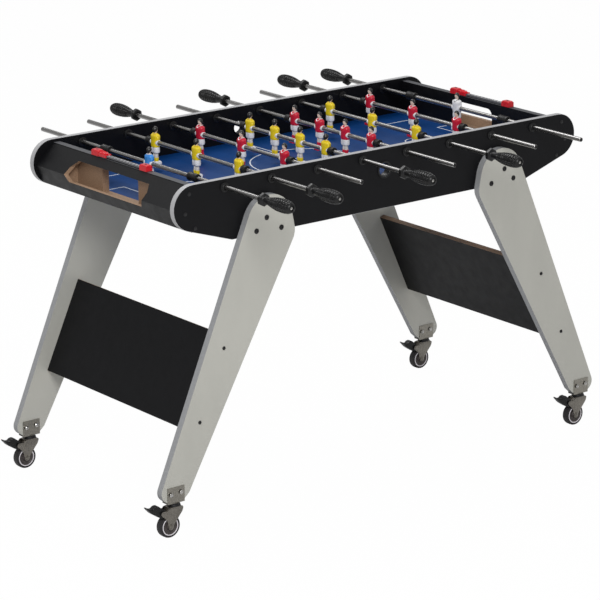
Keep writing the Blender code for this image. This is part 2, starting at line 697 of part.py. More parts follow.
def rod(bench, index, spec):
    """The tube with its men and its far stop ring, and the near ring and handle as pieces of their own."""
    number = index + 1
    x, shift, side = rod_x(index), spec["shift"], spec["handle"]
    handle_end = HANDLE_START + HANDLE_BORE_DEPTH - GAP
    low, high = sorted((shift + side * handle_end, shift - side * ROD_PLAIN_END))
    bm = bmesh.new()
    add_turned(bm, pin_profile(low, high, ROD_RADIUS), (x, 0.0, ROD_Z), sides=ROD_SIDES)
    origin = (x, shift, ROD_Z)
    tube = bench.solid(f"player_rod_{number}", bm, "chrome_tube", origin=origin, smooth=35)
    men = bmesh.new()
    for place in men_places(spec["men"]):
        add_man(men, x, shift + place, spec["facing"])
    start, end = ring_span(spec["men"])
    add_turned(men, pin_profile(start, end, RING_RADIUS), (x, shift, ROD_Z), sides=ROD_SIDES)
    bench.join(tube, men)
    bm = bmesh.new()
    add_turned(bm, [(-end, BORE_RADIUS), (-end, RING_RADIUS), (-start, RING_RADIUS), (-start, BORE_RADIUS)],
               (x, shift, ROD_Z), sides=ROD_SIDES)
    bench.solid(f"stop_ring_{number}", bm, "rubber", origin=origin, smooth=35)
    handle(bench, number, x, shift, side)


def handle(bench, number, x, shift, side):
    """A six-sided collar, a neck and a round grip, with a blind bore for the rod."""
    bore = BORE_RADIUS
    # Distance from the collar's face and radius.
    shape = [(0.000, 0.0125), (0.003, HANDLE_COLLAR_RADIUS), (0.013, HANDLE_COLLAR_RADIUS),
             (0.020, 0.0100), (0.032, 0.0108), (0.055, 0.0150), (0.080, 0.0182), (0.104, 0.0178),
             (0.118, 0.0140), (HANDLE_LENGTH, 0.0100), (HANDLE_LENGTH, 0.0)]
    inside = [(HANDLE_BORE_DEPTH, 0.0), (HANDLE_BORE_DEPTH, bore), (0.000, bore)]
    profile = inside + shape
    bm = bmesh.new()
    along = [(side * (HANDLE_START + a), r) for a, r in profile]
    add_turned(bm, along, (x, shift, ROD_Z), sides=ROD_SIDES)
    bench.solid(f"handle_{number}", bm, "black_plastic", origin=(x, shift, ROD_Z), smooth=35)


# Scorers --------------------------------------------------------------------------


def scorer(bench, name, end, rest):
    """A numbered bar held between two blocks on the end wall, and its sliding pointer."""
    x = end * (FIELD_HALF_LENGTH + WALL_THICKNESS / 2)
    middle = SCORER_OFF_CENTRE[name]
    rest += middle
    base = WALL_TOP + GAP
    width, length, height = SCORER_BRACKET
    half = SCORER_BAR_WIDTH / 2
    bar_low = base + SCORER_LIFT
    bar_high = bar_low + SCORER_BAR_THICKNESS
    reach = SCORER_HALF_LENGTH - SCORER_BAR_TUCK
    bm = bmesh.new()
    add_box(bm, (x - half, middle - reach, bar_low), (x + half, middle + reach, bar_high))
    bar = bench.solid(f"scorer_bar_{name}", bm, "red_plastic")
    blocks = bmesh.new()
    for side in (-1, 1):
        outer_end = middle + side * SCORER_HALF_LENGTH
        low, high = sorted((outer_end, outer_end - side * length))
        add_box(blocks, (x - width / 2, low, base), (x + width / 2, high, base + height))
    bench.join(bar, blocks)
    # The slider wraps round the bar, with a lip under each of its edges.
    inner = half + GAP
    outer = inner + SLIDER_WALL
    lip_x = half - SLIDER_LIP[0]
    lip_low = bar_low - GAP - SLIDER_LIP[1]
    roof = bar_high + GAP + SLIDER_WALL
    right = [(lip_x, lip_low), (outer, lip_low), (outer, roof)]
    hollow = [(lip_x, bar_low - GAP), (inner, bar_low - GAP), (inner, bar_high + GAP)]
    outline = right + [(-a, b) for a, b in reversed(right)]
    outline += [(-a, b) for a, b in hollow] + list(reversed(hollow))
    bm = bmesh.new()
    add_prism(bm, [(x + a, b) for a, b in outline], rest - SLIDER_LENGTH / 2, rest + SLIDER_LENGTH / 2)
    bench.solid(f"scorer_pointer_{name}", bm, "red_plastic", origin=(x, rest, base))


# Assembly ---------------------------------------------------------------------------


def clear_scene():
    for old in list(bpy.data.objects):
        bpy.data.objects.remove(old)


def build():
    clear_scene()
    bench = Bench()
    for name, side in (("front", -1), ("back", 1)):
        side_panel(bench, f"side_panel_{name}", side)
    playfield(bench)
    pointer_rest = SCORER_HALF_LENGTH - SCORER_BRACKET[1] - SLIDER_LENGTH / 2 - SLIDER_REST_GAP
    for name, end in (("left", -1), ("right", 1)):
        end_wall(bench, f"end_wall_{name}", end)
        end_apron(bench, f"end_apron_{name}", end)
        goal_tray(bench, f"goal_tray_{name}", end)
        leg_stretcher(bench, f"leg_stretcher_{name}", end)
        scorer(bench, name, end, pointer_rest)
        for way, side in (("front", -1), ("back", 1)):
            leg(bench, f"leg_{way}_{name}", end, side)
            caster(bench, f"{way}_{name}", end * CASTER_X, side * CASTER_Y)
    for index, spec in enumerate(RODS):
        rod(bench, index, spec)


build()
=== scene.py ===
"""Looks of the foosball table: finishes for its boards and every turned, moulded and painted piece.

X runs along the table, Y across it along the rods, Z is up, and lengths are in metres.
A shape is a list of patches, each a grid of points worked out from two parameters, and
make() skins the patches into one closed mesh that rides on a body of the frame.
"""

import json
import math

import bmesh
import bpy
import numpy as np
from mathutils import Matrix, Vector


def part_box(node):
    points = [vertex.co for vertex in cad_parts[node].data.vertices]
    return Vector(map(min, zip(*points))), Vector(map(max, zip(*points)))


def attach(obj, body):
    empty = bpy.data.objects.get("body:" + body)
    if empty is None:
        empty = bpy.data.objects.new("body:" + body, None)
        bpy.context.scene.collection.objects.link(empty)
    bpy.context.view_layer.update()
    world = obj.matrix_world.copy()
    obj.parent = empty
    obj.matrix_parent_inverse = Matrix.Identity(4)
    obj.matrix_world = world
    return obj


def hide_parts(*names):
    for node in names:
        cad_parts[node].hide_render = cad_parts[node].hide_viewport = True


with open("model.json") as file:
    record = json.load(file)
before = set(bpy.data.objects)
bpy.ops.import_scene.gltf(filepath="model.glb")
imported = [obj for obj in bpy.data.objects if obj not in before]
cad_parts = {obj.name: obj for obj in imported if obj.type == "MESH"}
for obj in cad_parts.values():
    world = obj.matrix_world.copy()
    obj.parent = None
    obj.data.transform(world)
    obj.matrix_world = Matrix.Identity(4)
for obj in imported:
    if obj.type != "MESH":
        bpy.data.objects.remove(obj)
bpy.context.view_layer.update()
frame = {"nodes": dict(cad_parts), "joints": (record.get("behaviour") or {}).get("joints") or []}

# Places taken from the frame -------------------------------------------------

NODES = frame["nodes"]
JOINTS = {joint["name"]: joint for joint in frame["joints"]}
RODS = range(1, 9)
CORNERS = ["front_left", "front_right", "back_left", "back_right"]
ENDS = {"left": -1, "right": 1}
SIDES = {"front": -1, "back": 1}

PANEL_LOW, PANEL_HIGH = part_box("side_panel_front")
MIDDLE_X = (PANEL_LOW.x + PANEL_HIGH.x) / 2
HALF_LENGTH = (PANEL_HIGH.x - PANEL_LOW.x) / 2
PANEL_TOP, PANEL_BOTTOM = PANEL_HIGH.z, PANEL_LOW.z
PANEL_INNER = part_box("playfield")[1].y + 0.0003
PANEL_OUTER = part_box("leg_back_left")[0].y - 0.0003
LEG_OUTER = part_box("leg_back_left")[1].y
FIELD_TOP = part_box("playfield")[1].z
FIELD_HALF_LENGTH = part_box("playfield")[1].x - MIDDLE_X
WALL_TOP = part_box("end_wall_left")[1].z
ROD_RADIUS = 0.006
END_RADIUS = 0.060
KEEL_SLOPE = math.radians(18.0)
BALL_HOLE_Z = PANEL_TOP - 0.058
BALL_HOLE_RADIUS = 0.0185
BLOCK_LENGTH = 0.030

# Men on each rod, the side they face, the handle's side and the team.
LINE_UP = {
    1: (1, +1, -1, "blue_keeper"),
    2: (3, +1, -1, "yellow"),
    3: (3, -1, +1, "red"),
    4: (4, +1, -1, "yellow"),
    5: (4, -1, +1, "red"),
    6: (3, +1, -1, "yellow"),
    7: (3, -1, +1, "red"),
    8: (1, -1, +1, "white_keeper"),
}
SPACING = {1: 0.0, 3: 0.188, 4: 0.112}


def rod_centre(number):
    """The middle of a rod's men: x, y and height."""
    return np.array(JOINTS[f"rod_{number}_spin"]["pos_m"], float)


def caster_places(corner):
    """The swivel's axis, the axle and the pedal's pin of one caster."""
    names = ("swivel", "roll", "brake")
    return [np.array(JOINTS[f"caster_{name}_{corner}"]["pos_m"], float) for name in names]


# Finishes ------------------------------------------------------------------------


class Finish:
    """A Principled material whose patterns are read from Object coordinates."""

    def __init__(self, name, roughness, metallic=0.0, coat=0.0, sheen=0.0, specular=0.5):
        self.material = bpy.data.materials.new(name)
        self.material.use_nodes = True
        self.nodes = self.material.node_tree.nodes
        self.links = self.material.node_tree.links
        self.shader = self.nodes["Principled BSDF"]
        self.shader.inputs["Roughness"].default_value = roughness
        self.shader.inputs["Metallic"].default_value = metallic
        self.shader.inputs["Coat Weight"].default_value = coat
        self.shader.inputs["Coat Roughness"].default_value = 0.12
        self.shader.inputs["Sheen Weight"].default_value = sheen
        self.shader.inputs["Specular IOR Level"].default_value = specular
        self.place = self.nodes.new("ShaderNodeTexCoord").outputs["Object"]

    def add(self, kind, **settings):
        node = self.nodes.new(kind)
        for key, value in settings.items():
            setattr(node, key, value)
        return node

    def feed(self, socket, value):
        if isinstance(value, bpy.types.NodeSocket):
            self.links.new(value, socket)
        else:
            socket.default_value = value

    def sum(self, operation, a, b=0.0):
        """One step of arithmetic on numbers."""
        node = self.add("ShaderNodeMath", operation=operation)
        self.feed(node.inputs[0], a)
        self.feed(node.inputs[1], b)
        return node.outputs[0]

    def stretched(self, scale):
        """Object coordinates stretched by a factor along each axis."""
        node = self.add("ShaderNodeMapping")
        self.feed(node.inputs["Vector"], self.place)
        node.inputs["Scale"].default_value = scale
        return node.outputs[0]

    def noise(self, scale, detail=4.0, stretch=(1.0, 1.0, 1.0), roughness=0.55):
        node = self.add("ShaderNodeTexNoise")
        self.feed(node.inputs["Vector"], self.stretched(stretch))
        node.inputs["Scale"].default_value = scale
        node.inputs["Detail"].default_value = detail
        node.inputs["Roughness"].default_value = roughness
        return node.outputs["Fac"]

    def ramp(self, value, low, high, colour_low, colour_high):
        """Two colours spread between two values of a pattern."""
        node = self.add("ShaderNodeValToRGB")
        self.feed(node.inputs[0], value)
        first, second = node.color_ramp.elements
        first.position, second.position = low, high
        first.color = (*colour_low, 1.0)
        second.color = (*colour_high, 1.0)
        return node.outputs[0]

    def mix(self, share, a, b):
        node = self.add("ShaderNodeMix", data_type="RGBA")
        self.feed(node.inputs[0], share)
        self.feed(node.inputs[6], a)
        self.feed(node.inputs[7], b)
        return node.outputs[2]

    def mottled(self, colour, spread=0.12, scale=90.0, stretch=(1.0, 1.0, 1.0)):
        """A colour that drifts darker and lighter by a share of itself."""
        dark = tuple(c * (1.0 - spread) for c in colour)
        light = tuple(min(1.0, c * (1.0 + spread)) for c in colour)
        return self.ramp(self.noise(scale, stretch=stretch), 0.32, 0.68, dark, light)

    def colour(self, value):
        self.feed(self.shader.inputs["Base Color"], value)
        return self

    def varied_roughness(self, low, high, scale=60.0, stretch=(1.0, 1.0, 1.0)):
        node = self.add("ShaderNodeMapRange")
        self.feed(node.inputs["Value"], self.noise(scale, stretch=stretch))
        node.inputs["From Min"].default_value = 0.3
        node.inputs["From Max"].default_value = 0.7
        node.inputs["To Min"].default_value = low
        node.inputs["To Max"].default_value = high
        self.feed(self.shader.inputs["Roughness"], node.outputs[0])
        return self

    def bump(self, height, strength, distance=0.0004):
        node = self.add("ShaderNodeBump")
        self.feed(node.inputs["Height"], height)
        node.inputs["Strength"].default_value = strength
        node.inputs["Distance"].default_value = distance
        self.feed(self.shader.inputs["Normal"], node.outputs[0])
        return self

    def facing(self, direction, limit):
        """1 where the surface faces along a direction, either way round, by more than the limit."""
        return self.sum("GREATER_THAN", self.sum("ABSOLUTE", self.along(direction)), limit)

    def along(self, direction):
        """How far the surface's true normal points along a direction."""
        dot = self.add("ShaderNodeVectorMath", operation="DOT_PRODUCT")
        self.feed(dot.inputs[0], self.nodes.new("ShaderNodeNewGeometry").outputs["True Normal"])
        dot.inputs[1].default_value = direction
        return dot.outputs["Value"]

    def axis(self, index):
        """One of the object coordinates."""
        node = self.add("ShaderNodeSeparateXYZ")
        self.feed(node.inputs[0], self.place)
        return node.outputs[index]


BLACK_BOARD = (0.0025, 0.0026, 0.0036)
PALE_BAND = (0.40, 0.40, 0.41)
RAW_BROWN = (0.330, 0.215, 0.140)
LEG_FACE = (0.452, 0.448, 0.408)
LEG_BAND = (0.300, 0.305, 0.315)


def black_laminate(made, colour=BLACK_BOARD):
    """Melamine black with a faint drift of tone and a fine pearled surface."""
    return made.mottled(colour, 0.10, 22.0)


def raw_fibre(made, colour=RAW_BROWN):
    """Pressed wood fibre: brown felt of short fibres with darker flecks."""
    felt = made.mottled(colour, 0.22, 260.0, (1.0, 1.0, 2.5))
    flecks = made.ramp(made.noise(900.0, 2.0), 0.56, 0.72, (1.0, 1.0, 1.0), (0.55, 0.50, 0.46))
    node = made.add("ShaderNodeMix", data_type="RGBA", blend_type="MULTIPLY")
    node.inputs[0].default_value = 1.0
    made.feed(node.inputs[6], felt)
    made.feed(node.inputs[7], flecks)
    return node.outputs[2]


def board_finish(name, face, edge, share):
    """A board of two finishes, told apart by which way the surface faces."""
    made = Finish(name, 0.5, specular=0.20)
    made.colour(made.mix(share(made), edge(made), face(made)))
    made.varied_roughness(0.42, 0.52, 35.0)
    return made.bump(made.noise(1500.0, 2.0), 0.08).material


def side_panel_finish():
    """Black on both faces, pale banding round the edge."""
    return board_finish("side_panel_laminate", black_laminate,
                        lambda m: m.mottled(PALE_BAND, 0.06, 60.0),
                        lambda m: m.facing((0.0, 1.0, 0.0), 0.5))


def end_wall_finish(end):
    """Black towards the pitch, raw behind and in the goal mouth, and a grey band along the top."""
    made = Finish(f"end_wall_{end}", 0.5, specular=0.30)
    front = made.sum("MAXIMUM", made.sum("GREATER_THAN", made.along((-end, 0.0, 0.0)), 0.5),
                     made.sum("GREATER_THAN", made.axis(2), WALL_TOP - 0.005))
    on_top = made.sum("MULTIPLY", made.sum("GREATER_THAN", made.along((0.0, 0.0, 1.0)), 0.5),
                      made.sum("GREATER_THAN", made.axis(2), WALL_TOP - 0.001))
    boards = made.mix(front, raw_fibre(made), black_laminate(made))
    made.colour(made.mix(on_top, boards, made.mottled((0.070, 0.072, 0.080), 0.08, 60.0)))
    made.varied_roughness(0.40, 0.54, 35.0)
    return made.bump(made.noise(1500.0, 2.0), 0.10).material


def end_apron_finish(end):
    """Black outside, raw fibre inside and on the hatch's cut edges."""
    made = Finish(f"end_apron_{end}", 0.5, specular=0.30)
    inside = made.sum("GREATER_THAN", made.along((-end, 0.0, 0.0)), 0.2)
    edge = made.sum("SUBTRACT", 1.0, made.facing((1.0, 0.0, 0.0), 0.1))
    below_top = made.sum("LESS_THAN", made.axis(2), WALL_TOP - 0.008)
    above_foot = made.sum("GREATER_THAN", made.axis(2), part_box("end_apron_left")[0].z + 0.004)
    cut = made.sum("MULTIPLY", edge, made.sum("MULTIPLY", below_top, above_foot))
    made.colour(made.mix(made.sum("MAXIMUM", inside, cut), black_laminate(made), raw_fibre(made)))
    made.varied_roughness(0.42, 0.54, 35.0)
    return made.bump(made.noise(1500.0, 2.0), 0.08).material


def stretcher_finish(end):
    """Black on both faces, raw along the cut edges."""
    low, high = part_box("leg_stretcher_left" if end < 0 else "leg_stretcher_right")
    lean = math.atan2(high.x - low.x, high.z - low.z)
    across = (math.cos(lean), 0.0, end * math.sin(lean))
    return board_finish(f"stretcher_{end}", black_laminate, raw_fibre,
                        lambda m: m.facing(across, 0.8))


def tray_finish(end):
    """Raw fibre above, black round the edges and beneath."""
    return board_finish(f"goal_tray_{end}", black_laminate, raw_fibre,
                        lambda m: m.sum("LESS_THAN", m.along((0.0, 0.0, 1.0)), 0.5))


def leg_finish():
    """Pale laminate on the faces and a bluish band round the edge."""
    made = Finish("leg_laminate", 0.5, specular=0.4)
    face = made.mottled(LEG_FACE, 0.035, 9.0, (1.0, 1.0, 0.35))
    band = made.mottled(LEG_BAND, 0.06, 120.0)
    made.colour(made.mix(made.facing((0.0, 1.0, 0.0), 0.5), band, face))
    made.varied_roughness(0.42, 0.58, 30.0)
    return made.bump(made.noise(1300.0, 2.0), 0.10).material


def field_finish():
    """Printed blue sheet with a broad, slow drift of tone."""
    made = Finish("pitch_blue", 0.40, specular=0.22)
    made.colour(made.mottled((0.001, 0.040, 0.170), 0.10, 5.0))
    made.varied_roughness(0.34, 0.46, 18.0)
    return made.bump(made.noise(700.0, 2.0), 0.06).material


def plain_plastic(name, colour, roughness=0.42, spread=0.10, grain=900.0, relief=0.12, coat=0.0):
    """Moulded plastic with a fine spark-eroded grain."""
    made = Finish(name, roughness, coat=coat, specular=0.36)
    made.colour(made.mottled(colour, spread, 130.0))
    made.varied_roughness(roughness - 0.07, roughness + 0.09, 180.0)
    return made.bump(made.noise(grain, 3.0), relief, 0.0003).material


def paint(name, colour, roughness=0.38):
    """Brushed-on enamel over moulded plastic, pooled thicker in places."""
    made = Finish(name, roughness, coat=0.25)
    made.colour(made.mottled(colour, 0.10, 240.0))
    made.varied_roughness(roughness - 0.10, roughness + 0.12, 300.0)
    return made.bump(made.noise(420.0, 3.0), 0.18, 0.0003).material


def metal(name, colour, roughness, stretch=(1.0, 1.0, 1.0), scale=220.0, relief=0.08):
    """Drawn or plated steel with streaks along its length."""
    made = Finish(name, roughness, metallic=1.0)
    made.colour(made.mottled(colour, 0.14, scale, stretch))
    made.varied_roughness(roughness * 0.7, roughness * 1.35, scale, stretch)
    return made.bump(made.noise(scale * 3.0, 2.0, stretch), relief, 0.0002).material


def bar_finish(name):
    """Dark grey between the blocks, red on the blocks."""
    made = Finish(f"counter_bar_{name}", 0.40)
    low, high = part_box(f"scorer_bar_{name}")
    from_middle = made.sum("SUBTRACT", made.axis(1), (low.y + high.y) / 2)
    block_start = (high.y - low.y) / 2 - BLOCK_LENGTH - 0.0001
    on_block = made.sum("GREATER_THAN", made.sum("ABSOLUTE", from_middle), block_start)
    made.colour(made.mix(on_block, made.mottled((0.10, 0.10, 0.11), 0.1, 200.0),
                         made.mottled((0.62, 0.012, 0.022), 0.10, 130.0)))
    made.varied_roughness(0.28, 0.44, 150.0)
    return made.bump(made.noise(800.0, 3.0), 0.12, 0.0003).material


FINISHES = {
    "side_panel": side_panel_finish(),
    "leg": leg_finish(),
    "field": field_finish(),
    "raw": board_finish("raw_fibreboard", raw_fibre, raw_fibre, lambda m: m.facing((0, 0, 1), 0.5)),
    "band": plain_plastic("edge_band", PALE_BAND, 0.45, 0.06, 700.0, 0.06),
    "rod": metal("rod_steel", (0.33, 0.325, 0.32), 0.27, (1.0, 0.004, 1.0), 140.0, 0.004),
    "plate": metal("plated_steel", (0.30, 0.285, 0.25), 0.36, (1.0, 1.0, 0.12), 500.0, 0.20),
    "fork": metal("fork_steel", (0.235, 0.22, 0.195), 0.30, (1.0, 1.0, 0.3), 300.0, 0.10),
    "polished": metal("polished_steel", (0.50, 0.49, 0.47), 0.16, (1.0, 1.0, 1.0), 120.0, 0.05),
    "bolt": plain_plastic("black_bolt", (0.010, 0.010, 0.011), 0.36),
    "black": plain_plastic("black_moulding", (0.006, 0.006, 0.0065), 0.42),
    "grip": plain_plastic("grip_plastic", (0.004, 0.004, 0.0045), 0.36, relief=0.06),
    "rubber": plain_plastic("ring_rubber", (0.007, 0.007, 0.0075), 0.48, relief=0.30),
    "tyre": plain_plastic("tyre_rubber", (0.018, 0.0165, 0.0175), 0.52, relief=0.30),
    "hub": plain_plastic("hub_plastic", (0.055, 0.046, 0.044), 0.42),
    "wheel_ring": plain_plastic("wheel_ring", (0.74, 0.71, 0.74), 0.40, 0.04),
    "line": plain_plastic("pitch_line", (0.74, 0.77, 0.82), 0.45, 0.05),
    "digit": plain_plastic("digit_white", (0.78, 0.78, 0.78), 0.45, 0.04),
    "red": plain_plastic("counter_red", (0.62, 0.012, 0.022), 0.30, 0.10, coat=0.3),
    "skin": paint("skin_paint", (0.74, 0.58, 0.48)),
    "pale": paint("pale_leg_paint", (0.66, 0.62, 0.58)),
    "white": paint("white_paint", (0.80, 0.80, 0.82)),
    "hair": paint("hair_paint", (0.012, 0.011, 0.011)),
    "yellow": paint("yellow_paint", (0.83, 0.62, 0.012)),
    "crimson": paint("crimson_paint", (0.58, 0.010, 0.035)),
    "sky": paint("sky_paint", (0.040, 0.26, 0.72)),
}

# What a team wears: shirt, collar, sleeves, shorts, socks and boots.
KITS = {
    "yellow": ("yellow", "yellow", "white", "white", "yellow", "white"),
    "red": ("crimson", "white", "white", "white", "crimson", "crimson"),
    "blue_keeper": ("sky", "white", "white", "white", "sky", "white"),
    "white_keeper": ("white", "hair", "white", "white", "white", "white"),
}

# Patches ------------------------------------------------------------------------


def circle(count, turn=0.0):
    """Cosine and sine of evenly spaced angles."""
    angles = turn + 2 * np.pi * np.arange(count) / count
    return np.cos(angles), np.sin(angles)


def patch(points, tone=0, ring=False):
    """A grid of points [step, place round]: closed round itself, and ring closes its ends on each other."""
    return {"points": np.asarray(points, float), "tone": tone, "ring": ring}


def smooth_rows(table, steps):
    """A Catmull-Rom curve through the table's rows, in equal steps between them.

    Between rows p1 and p2 it is half of (2 p1 + (p2 - p0) t + (2 p0 - 5 p1 + 4 p2 - p3) t^2
    + (3 p1 - p0 - 3 p2 + p3) t^3).
    """
    rows = np.asarray(table, float)
    padded = np.vstack([rows[:1], rows, rows[-1:]])
    t = (np.arange(steps) / steps)[None, :, None]
    p0, p1, p2, p3 = (padded[k:len(rows) - 1 + k, None, :] for k in range(4))
    curve = 0.5 * (2 * p1 + (p2 - p0) * t + (2 * p0 - 5 * p1 + 4 * p2 - p3) * t ** 2
                   + (3 * p1 - p0 - 3 * p2 + p3) * t ** 3)
    return np.vstack([curve.reshape(-1, rows.shape[1]), rows[-1:]])


def closed_curve(points, steps):
    """A closed Catmull-Rom curve through outline points."""
    rows = np.asarray(points, float)
    t = (np.arange(steps) / steps)[None, :, None]
    p0, p1, p2, p3 = (np.roll(rows, 1 - k, axis=0)[:, None, :] for k in range(4))
    curve = 0.5 * (2 * p1 + (p2 - p0) * t + (2 * p0 - 5 * p1 + 4 * p2 - p3) * t ** 2
                   + (3 * p1 - p0 - 3 * p2 + p3) * t ** 3)
    return curve.reshape(-1, rows.shape[1])


def turned(profile, centre, axis="Y", sides=32, tone=0, ring=False, flip=1):
    """A profile of (distance along, radius) turned about an axis through a centre.

    The point at angle v is the centre, plus the distance along the axis, plus the radius
    times (cos v, sin v) across it. A closed ring profile never meets the axis.
    """
    profile = np.asarray(profile, float)
    c, s = circle(sides)
    along, radius = profile[:, 0][:, None] * flip, profile[:, 1][:, None]
    flat = [np.broadcast_to(along, (len(profile), sides)), radius * c, radius * s]
    order = {"X": (0, 1, 2), "Y": (2, 0, 1), "Z": (1, 2, 0)}[axis]
    points = np.stack([flat[k] for k in order], -1)
    return patch(points + np.asarray(centre, float), tone, ring)


def loft(rows, origin, tone=0, count=24, square=2.5, crease=0.0, facing=1):
    """Rounded sections stacked upwards, closed at both ends.

    Each row is (height, forward, half depth, half width). Round a section, x is the half
    depth times cos v and y the half width times sin v, each to the power 2/square, and
    crease draws the front and back in towards the middle line.
    """
    rows = np.asarray(rows, float)
    rows = np.vstack([rows[0] * [1, 1, 0, 0], rows, rows[-1] * [1, 1, 0, 0]])
    c, s = circle(count)
    height, forward, depth, width = (rows[:, k][:, None] for k in range(4))
    x = np.sign(c) * np.abs(c) ** (2 / square) * depth
    y = np.sign(s) * np.abs(s) ** (2 / square) * width
    x = x * (1 - crease * np.exp(-(y / 0.0022) ** 2))
    points = np.stack([facing * (x + forward), y, np.broadcast_to(height, x.shape)], -1)
    return patch(points + np.asarray(origin, float), tone)


def ball(centre, radii, tone=0, rows=12, count=20, swell=None):
    """An ellipsoid: height follows -cos u and breadth sin u, scaled by an optional swelling."""
    u = np.linspace(0, np.pi, rows + 1)[:, None]
    c, s = circle(count)
    direction = np.stack([np.sin(u) * c, np.sin(u) * s, -np.cos(u) * np.ones(count)], -1)
    if swell is not None:
        direction = direction * swell(direction)[..., None]
    return patch(direction * np.asarray(radii) + np.asarray(centre, float), tone)


def tube(path, radii, tone=0, count=12):
    """A round section carried along a path, square to it, closed at both ends."""
    path = np.asarray(path, float)
    radii = np.broadcast_to(np.asarray(radii, float), (len(path),))
    heading = np.gradient(path, axis=0)
    heading /= np.linalg.norm(heading, axis=1, keepdims=True)
    aside = np.cross(heading, (0.31, 0.87, 0.12))
    aside /= np.linalg.norm(aside, axis=1, keepdims=True)
    other = np.cross(heading, aside)
    c, s = circle(count)
    rim = aside[:, None] * c[:, None] + other[:, None] * s[:, None]
    body = path[:, None] + rim * radii[:, None, None]
    ends = [np.repeat(path[k][None, None], count, axis=1) for k in (0, -1)]
    return patch(np.concatenate([ends[0], body, ends[1]]), tone)


def plate(outline, low, high, edge, axis="Y", tone=0, middle=None):
    """An outline carried straight between two places, with its rims rounded over by edge."""
    outline = np.asarray(outline, float)
    middle = outline.mean(axis=0) if middle is None else np.asarray(middle, float)
    forward = np.roll(outline, -1, axis=0) - np.roll(outline, 1, axis=0)
    normal = np.stack([forward[:, 1], -forward[:, 0]], -1)
    normal /= np.linalg.norm(normal, axis=1, keepdims=True)
    area = np.sum(outline[:, 0] * np.roll(outline[:, 1], -1) - outline[:, 1] * np.roll(outline[:, 0], -1))
    inset = outline - np.sign(area) * normal * edge
    centre = np.broadcast_to(middle, outline.shape)
    bend = inset + (outline - inset) * 0.7
    rings = [(centre, low), (inset, low), (bend, low + 0.3 * edge), (outline, low + edge),
             (outline, high - edge), (bend, high - 0.3 * edge), (inset, high), (centre, high)]
    flat = np.stack([ring for ring, _ in rings])
    along = np.array([place for _, place in rings])[:, None] * np.ones(len(outline))
    order = {"Y": (flat[..., 0], along, flat[..., 1]), "X": (along, flat[..., 0], flat[..., 1]),
             "Z": (flat[..., 0], flat[..., 1], along)}[axis]
    return patch(np.stack(order, -1), tone)


def strip(path, inside, outside, low, high, axis="Y", tone=0, closed=True):
    """A thin band: a rectangle carried along a flat path, from an inside to an outside offset."""
    path = np.asarray(path, float)
    if closed:
        forward = np.roll(path, -1, axis=0) - np.roll(path, 1, axis=0)
    else:
        forward = np.gradient(path, axis=0)
    normal = np.stack([forward[:, 1], -forward[:, 0]], -1)
    normal /= np.linalg.norm(normal, axis=1, keepdims=True)
    near, far = path + normal * inside, path + normal * outside
    corners = [(near, low), (far, low), (far, high), (near, high)]
    flat = np.stack([c for c, _ in corners], 1)
    along = np.broadcast_to(np.array([a for _, a in corners]), flat.shape[:2])
    if axis == "Y":
        points = np.stack([flat[..., 0], along, flat[..., 1]], -1)
    else:
        points = np.stack([flat[..., 0], flat[..., 1], along], -1)
    if not closed:
        ends = [np.repeat(points[k].mean(axis=0)[None, None], 4, axis=1) for k in (0, -1)]
        points = np.concatenate([ends[0], points, ends[1]])
    return patch(points, tone, ring=closed)


def make(name, body, patches, finishes, replaces=(), sharp=38.0):
    """One closed mesh of several patches, with a finish for each tone, riding on a body."""
    points, faces, tones, start = [], [], [], 0
    for part in patches:
        grid = part["points"]
        rows, count = grid.shape[:2]
        i = np.arange(rows if part["ring"] else rows - 1)[:, None]
        j = np.arange(count)[None, :]
        corners = [i * count + j, i * count + (j + 1) % count,
                   (i + 1) % rows * count + (j + 1) % count, (i + 1) % rows * count + j]
        faces.append(np.stack(corners, -1).reshape(-1, 4) + start)
        tones.append(np.full(len(faces[-1]), part["tone"]))
        points.append(grid.reshape(-1, 3))
        start += rows * count
    mesh = bpy.data.meshes.new(name)
    mesh.from_pydata(np.concatenate(points), [], np.concatenate(faces).tolist())
    mesh.polygons.foreach_set("material_index", np.concatenate(tones).astype(np.int32))
    # Poles are rows that shrink to one point, so their doubles are merged.
    bm = bmesh.new()
    bm.from_mesh(mesh)
    bmesh.ops.remove_doubles(bm, verts=bm.verts, dist=1e-7)
    bmesh.ops.dissolve_degenerate(bm, dist=1e-8, edges=bm.edges)
    bmesh.ops.recalc_face_normals(bm, faces=bm.faces)
    bm.to_mesh(mesh)
    bm.free()
    mesh.shade_smooth()
    mesh.set_sharp_from_angle(angle=math.radians(sharp))
    for finish in finishes:
        mesh.materials.append(FINISHES[finish])
    made = bpy.data.objects.new(name, mesh)
    bpy.context.scene.collection.objects.link(made)
    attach(made, body)
    if replaces:
        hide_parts(*replaces)
    return made


def refinish(node, material):
    """Gives a CAD node's every slot one material."""
    if not NODES[node].material_slots:
        NODES[node].data.materials.append(material)
    for holder in NODES[node].material_slots:
        holder.material = material


# Cabinet --------------------------------------------------------------------------


def panel_outline(grow=0.0):
    """The side panel's outline: flat top, round ends and the sloping keel."""
    half, radius = HALF_LENGTH, END_RADIUS
    cx, cz = half - radius, PANEL_TOP - radius
    angles = np.linspace(KEEL_SLOPE - np.pi / 2, np.pi / 2, 48)
    right = np.stack([cx + (radius + grow) * np.cos(angles), cz + (radius + grow) * np.sin(angles)], -1)
    leave = right[0]
    keel_start = leave[0] - (leave[1] - PANEL_BOTTOM + grow) / math.tan(KEEL_SLOPE)
    keel = np.array([[keel_start, PANEL_BOTTOM - grow]])
    right = np.vstack([keel, right])
    outline = np.vstack([right, right[::-1] * [-1, 1]])
    return outline + [MIDDLE_X, 0.0]


